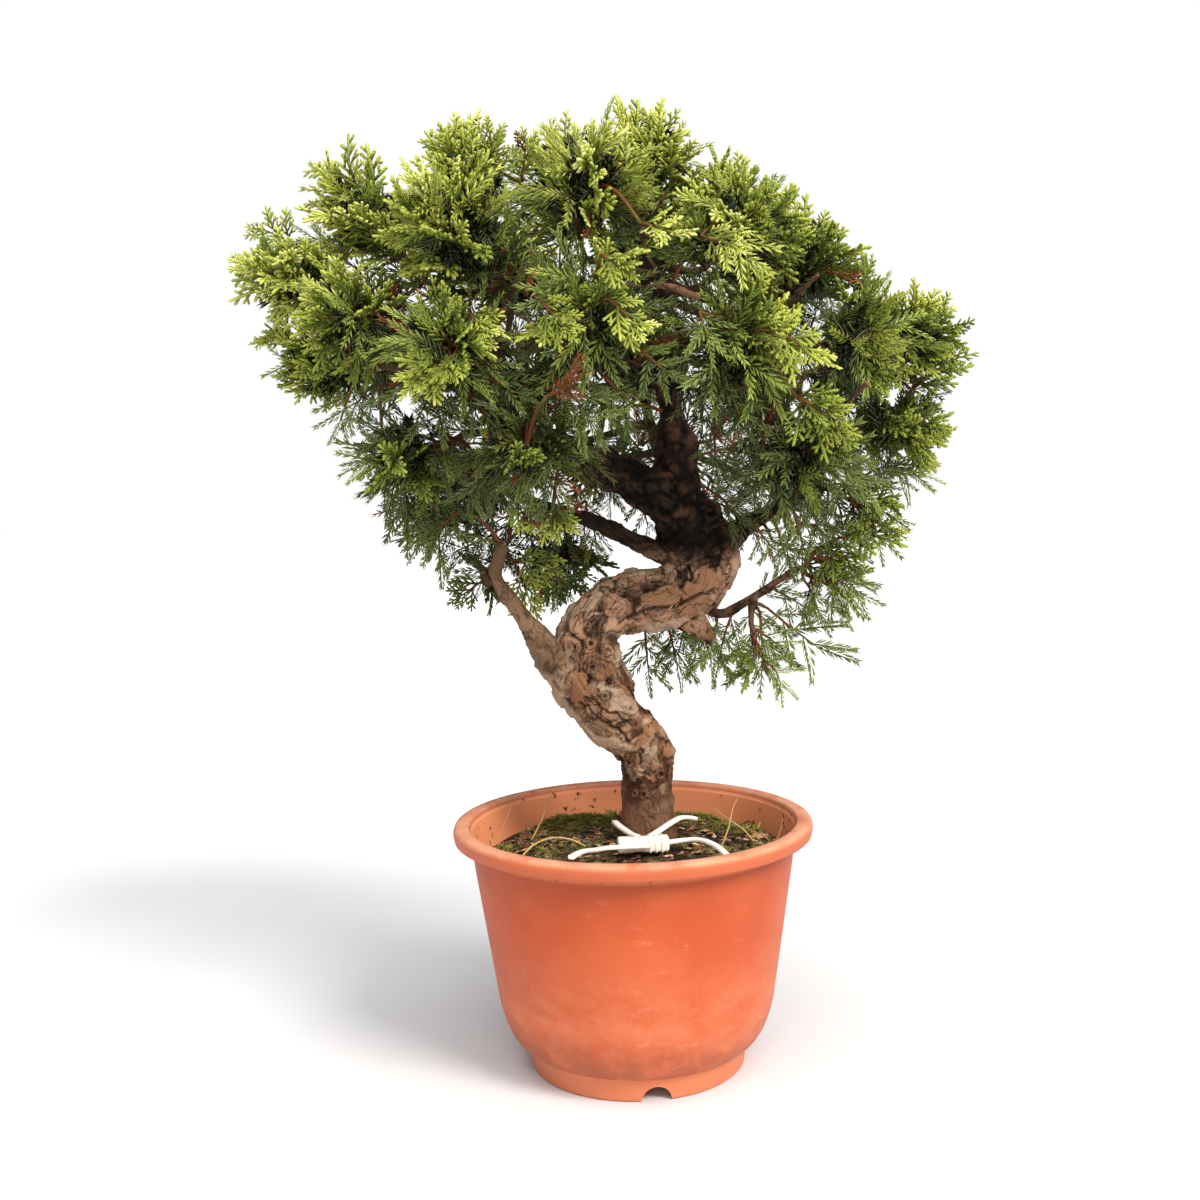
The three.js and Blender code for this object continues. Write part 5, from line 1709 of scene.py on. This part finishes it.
def moss_shape(bed, rng):
    """A closed cushion, and stars of three leaves set on it at random."""
    count = int(bed[2] * bed[3] * math.pi / 4 * MOSS_SHOOTS_PER_MM2)
    spot = on_bed(bed, np.sqrt(rng.uniform(0, 0.98, count)), rng.uniform(0, 6.28, count))
    return joined([dome_on(bed, 12, 44, 0.06, -0.3, {"tip": 0.0}), moss_stars(spot, rng, 1.0)])


# %% [markdown]
# Cushion moss is velvety: dark between the shoots and yellow-green at their tips.

# %% Finish of the moss
moss_finish = new_finish("cushion_moss", Roughness=0.8, IOR=1.4)
tip, = stored("tip")
patches = masked((spots(8, 4), 0.35, 0.65))
tips = coated("#7f8729", ("#bdb556", patches),
              ("#6f5a30", (spots(7, 4, rough=0.65), 0.48, 0.62, 0, 0.8)))
painted(coated("#38330f", ("#5a4c1f", patches), (tips, tip)))
relief(spots(1.0, 3), 0.5, 0.8)
for number, (name, bed) in enumerate(moss_beds.items()):
    rng = np.random.default_rng([SEED, 100 + number])
    piece_of("cushion_of_" + name, moss_shape(bed, rng), moss_finish, "moss", name)

# %% Moss that has crept over the soil, and little green shoots
MOSS_REACH = 75.5
MOSS_TRIES = 3600
# Groups of shoots: x, y and how many
shoot_groups = [(-62, -24, 16), (-55, -30, 10), (-70, -8, 14), (-40, 58, 16), (-12, 62, 12),
                (52, -34, 12), (64, -12, 10), (60, 26, 10)]


def crept_moss(rng):
    """Stars on the soil's top, in patches where slow noise is high, out to the pot's wall."""
    turn = rng.uniform(0, 2 * np.pi, MOSS_TRIES)
    away = MOSS_REACH * np.sqrt(rng.uniform(0, 1, MOSS_TRIES))
    x, y = away * np.cos(turn), away * np.sin(turn)
    patchy = noise(in_plane(x, y) / 17, 141) + 0.35 * noise(in_plane(x, y) / 5, 143)
    grows = (patchy > 0.36) & (from_trunk(x, y) > 16)
    x, y = x[grows], y[grows]
    z = ground(x, y) + crumbs_height(x, y) * 0.8
    return moss_stars(np.stack([x, y, z], -1), rng, 1.05)


def green_tufts(rng):
    """Taller shoots in tight groups near the wall, where seedlings and long moss stand."""
    groups = [rng.normal(0, 3.2, (many, 2)) + [x, y] for x, y, many in shoot_groups]
    x, y = np.vstack(groups).T
    return moss_stars(np.column_stack([x, y, ground(x, y) + 0.4]), rng, 2.6)


piece_of("green_tufts", green_tufts(np.random.default_rng([SEED, 121])), moss_finish, "moss")
piece_of("crept_moss", crept_moss(np.random.default_rng([SEED, 120])), moss_finish, "moss")
print("moss triangles:", sum(count for name, count in made.items() if "moss" in name))

# %% [markdown]
# ## Litter, grass and dry stems
#
# Fallen needles, bark flakes and twig bits lie on the soil. The blades of dry grass stand
# in it: thin ribbons that taper to a point. One stem is arched over the moss.

# %% Finish of the dry bark
dry_finish = new_finish("dead_bark_flake", Roughness=0.88, IOR=1.45)
pale, = stored("pale")
wooden = add_node("ValToRGB", inputs={"Fac": pale}, stops=[
    (0.0, "#3a2114"), (0.35, "#7a4c31"), (0.7, "#b3805c"), (1.0, "#e2c096")])[0]
painted(coated(wooden, ("#4d2f1e", (spots(1.4, 3), 0.4, 0.7))))
relief(spots(0.8, 3), 0.25, 0.7)

# %% Slivers, and how things lie and stand on the soil
def sliver(start, end, half_width, pale):
    """A fallen needle: a small triangle at its start, drawn out to a point at its end."""
    return shape_of([[start, half_width, 0], [start, -half_width, 0], [start, 0, 0.4],
                     [end, 0, 0]], [SLIVER_FACES], {"pale": np.array(pale)}, smooth=False)


def axes_along(ahead):
    """Axes with x ahead and y level."""
    side = unit(np.cross([0, 0, 1.0], ahead))
    return np.stack([ahead, side, np.cross(ahead, side)], 1)


def standing(points):
    """Places given as x, y and rise above the soil."""
    x, y, rise = np.array(points, float).T
    return np.column_stack([x, y, ground(x, y) + 0.4 + rise])


# %% Litter on the soil
LITTER_PIECES = 620
LITTER_REACH = 75


def litter_shape(rng):
    """Fallen needles as slivers and bark flakes as bent, pointed plates, all lying on the
    soil's own height."""
    turn = rng.uniform(0, 6.28, LITTER_PIECES)
    away = LITTER_REACH * np.sqrt(rng.uniform(0.02, 1, LITTER_PIECES))
    x, y = away * np.cos(turn), away * np.sin(turn)
    keep = from_trunk(x, y) > 17
    x, y, count = x[keep], y[keep], keep.sum()
    spot = np.stack([x, y, ground(x, y) + 1.0 + 0.8 * crumbs_height(x, y)], -1)
    heading = rng.uniform(0, 6.28, count)
    axes = axes_along(np.stack([np.cos(heading), np.sin(heading),
                                rng.uniform(-0.15, 0.35, count)], -1))
    axes = axes * rng.uniform(0.55, 1.25, count)[:, None, None]
    pale = rng.uniform(0, 1, count)
    bend = rng.normal(0, 0.05, count)[:, None] * [0.0, 1.0, 0.0]
    flake = shape_of([[-2.6, 0, 0.3], [-0.8, 1.5, 0], [2.2, 0.9, 0.5], [2.9, -0.7, 0.1],
                      [-0.5, -1.6, 0.2], [0, 0, 0.9], [0, 0, -0.35]],
                     [np.array([[0, 5, 1], [1, 5, 2], [2, 5, 3], [3, 5, 4], [4, 5, 0],
                                [1, 6, 0], [2, 6, 1], [3, 6, 2], [4, 6, 3], [0, 6, 4]])],
                     {"pale": np.ones(7)}, smooth=False)
    fallen = sliver(-3, 3.4, 0.35, [1.0, 1.0, 1.0, 1.0])
    split = int(count * 0.7)
    return joined([
        copies(fallen, axes[:split], spot[:split], {"pale": pale[:split]}, bend[:split]),
        copies(flake, axes[split:], spot[split:], {"pale": pale[split:]})])


piece_of("fallen_litter", litter_shape(np.random.default_rng([SEED, 130])), dry_finish,
         "dry_bark")
print("litter triangles:", made["fallen_litter"])

# %% The bark chip and the dry sprig
CHIP_BED = [66, 14, 13, 8, 0.9, 1.6]
SPRIG_NEEDLES = 46


def chip_shape():
    """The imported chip's dome, with a ragged edge and a bent, layered top."""
    chip = dome_on(CHIP_BED, 14, 40, 0.05, 0.2, {"pale": 0.8}, ragged=0.10)
    skin = chip["points"][:-2]
    layers = np.round(2.2 * noise(skin / 3.0, 151)) * 0.25
    skin[:, 2] += layers + 0.3 * noise(skin / 1.2, 153)
    return chip


def sprig_shape(rng):
    """A dead sprig: a stem with dry needles all round it."""
    path = smooth_path(standing([[-57, 9, 0.2], [-56, 9, 4], [-54, 9, 9]]), 14)
    stem = tube(path, np.linspace(0.7, 0.35, 14), 6, dome=0.5)
    stem["values"] = {"pale": np.full(len(stem["points"]), 0.45)}
    spot = path[rng.integers(1, 13, SPRIG_NEEDLES)]
    turn = rng.uniform(0, 6.28, SPRIG_NEEDLES)
    axes = axes_along(np.stack([np.cos(turn) * 0.75, np.sin(turn) * 0.75,
                                rng.uniform(0.2, 0.9, SPRIG_NEEDLES)], -1))
    axes = axes * rng.uniform(0.5, 0.9, SPRIG_NEEDLES)[:, None, None]
    return joined([stem, copies(sliver(0, 4.6, 0.4, [0.4, 0.4, 0.4, 0.7]), axes, spot)])


piece_of("fallen_bark_chip", chip_shape(), dry_finish, "dry_bark", "bark_chip")
piece_of("dead_sprig", sprig_shape(np.random.default_rng([SEED, 140])), dry_finish,
         "dry_bark", "dry_sprig")
print("sprig triangles:", made["dead_sprig"])

# %% Finish of the straw
straw_finish = new_finish("dry_grass_straw", Roughness=0.55, IOR=1.46)
lengthways = add_node("Attribute", {"attribute_name": "grain"})["Vector"]
streaks = spots(0.6, 3, (14, 1, 1), lengthways)
from_root = add_node("SeparateXYZ", inputs={"Vector": lengthways})[0]
painted(coated("#b08a45", ("#e6d397", (streaks, 0.35, 0.7)),
               ("#8f8a3a", (from_root, 9.0, 1.0, 0, 0.45))))
relief(streaks, 0.08, 0.6)

# %% Grass blades and the arched stem: x, y and rise above the soil
grass_routes = {
    "grass_left_outer": [[-70, 12, 0], [-67, 15, 10], [-61, 20, 24]],
    "grass_left_inner": [[-53, 22, 0], [-48, 26, 8], [-41, 32, 24]],
    "grass_right_tall": [[44, -8, 0], [48, -4, 9], [51, 2, 18], [54, 6, 22]],
    "grass_right_bent": [[62, -2, 0], [56, -1, 7], [48, 2, 12], [41, 6, 16]],
    "grass_right_outer": [[72, 6, 0], [75, 9, 5], [77, 12, 13]],
}
stem_route = [[-55, -9, 0.5], [-50, -3, 3.2], [-42, 2, 4.6], [-32, 0, 3.8], [-24, -5, 1.0]]
BLADE_WIDTH = 0.9
BLADE_THICKNESS = 0.45
BLADE_RINGS = 40
STEM_RINGS = 70
STEM_JOINTS = 4
for name, points in grass_routes.items():
    taper = BLADE_WIDTH / 2 * (1 - 0.82 * np.linspace(0, 1, BLADE_RINGS) ** 1.6)
    blade = tube(smooth_path(standing(points), BLADE_RINGS), taper * BLADE_THICKNESS, 8,
                 width=1 / BLADE_THICKNESS, dome=1.0)
    piece_of("dry_" + name, blade, straw_finish, "dry_straw", name)
joints = np.exp(-((np.linspace(0, 1, STEM_RINGS) * STEM_JOINTS % 1 - 0.5) / 0.07) ** 2)
arched = tube(smooth_path(standing(stem_route), STEM_RINGS), 0.50 + 0.14 * joints, 10,
              dome=0.6)
piece_of("arched_dry_stem", arched, straw_finish, "dry_straw", "dry_stem")
print("blades:", len(grass_routes), "with", made["dry_grass_left_outer"], "triangles each")

# %% [markdown]
# ## Floor and light
#
# A plain pale floor, a broad soft light from above, a second one from the upper right, a
# weak one from the front that opens the shadows, and an even surround. Most of the light
# comes from above, so the inside of the crown and the underside of the bend stay dark.

# %% Floor, lamps and surround
FLOOR_RADIUS = 9000.0
FLOOR_TOP = -0.4
FLOOR_THICKNESS = 3.0
floor_outline = np.array([[0, FLOOR_TOP - FLOOR_THICKNESS],
                          [FLOOR_RADIUS, FLOOR_TOP - FLOOR_THICKNESS],
                          [FLOOR_RADIUS, FLOOR_TOP], [0, FLOOR_TOP]])
floor_mesh = mesh_of("studio_floor", turned(floor_outline, 128))
shown("studio_floor", floor_mesh)
floor_mesh.materials.append(new_finish("pale_studio_paper", Roughness=1.0,
                                       Specular_IOR_Level=0.0))
painted(coated("#d9dbde", ("#dddfe2", spots(300, 2))))
floor_mesh.shade_flat()


def soft_sun(name, azimuth, elevation, strength, spread, tint):
    """A sun that comes from this azimuth, counted from the front to the right, at this
    elevation. The spread is its width in degrees: a wide one gives soft shadows."""
    lamp = bpy.data.lights.new(name, "SUN")
    lamp.energy = strength
    lamp.angle = math.radians(spread)
    lamp.color = colour(tint)[:3]
    shown(name, lamp).matrix_world = (
        Matrix.Rotation(math.radians(azimuth), 4, "Z")
        @ Matrix.Rotation(math.radians(90 - elevation), 4, "X"))


soft_sun("overhead_softbox", 10, 72, 2.6, 60, "#fefcf9")
soft_sun("key_softbox", 46, 40, 3.0, 22, "#fff9f0")
soft_sun("front_fill_softbox", -6, 20, 0.75, 50, "#fffaf4")
world = bpy.data.worlds.new("bright_surround")
world.use_nodes = True
tree = world.node_tree
tree.nodes.clear()
surround = add_node("Background", inputs={"Color": "#f4f6fa", "Strength": 0.30})
backdrop = add_node("Background", inputs={"Color": "#ffffff", "Strength": 1.0})
seen = add_node("LightPath")["Is Camera Ray"]
either = add_node("MixShader", inputs={0: seen, 1: surround[0], 2: backdrop[0]})
add_node("OutputWorld", inputs={"Surface": either[0]})
bpy.context.scene.world = world
bpy.context.scene.view_settings.view_transform = "Standard"

# %% [markdown]
# ## Triangles, and the end
#
# The last line prints how many triangles the pieces have, in all and in the largest one.

# %% Count the triangles and finish
print("triangles", sum(made.values()), "most in one piece", max(made.values()))
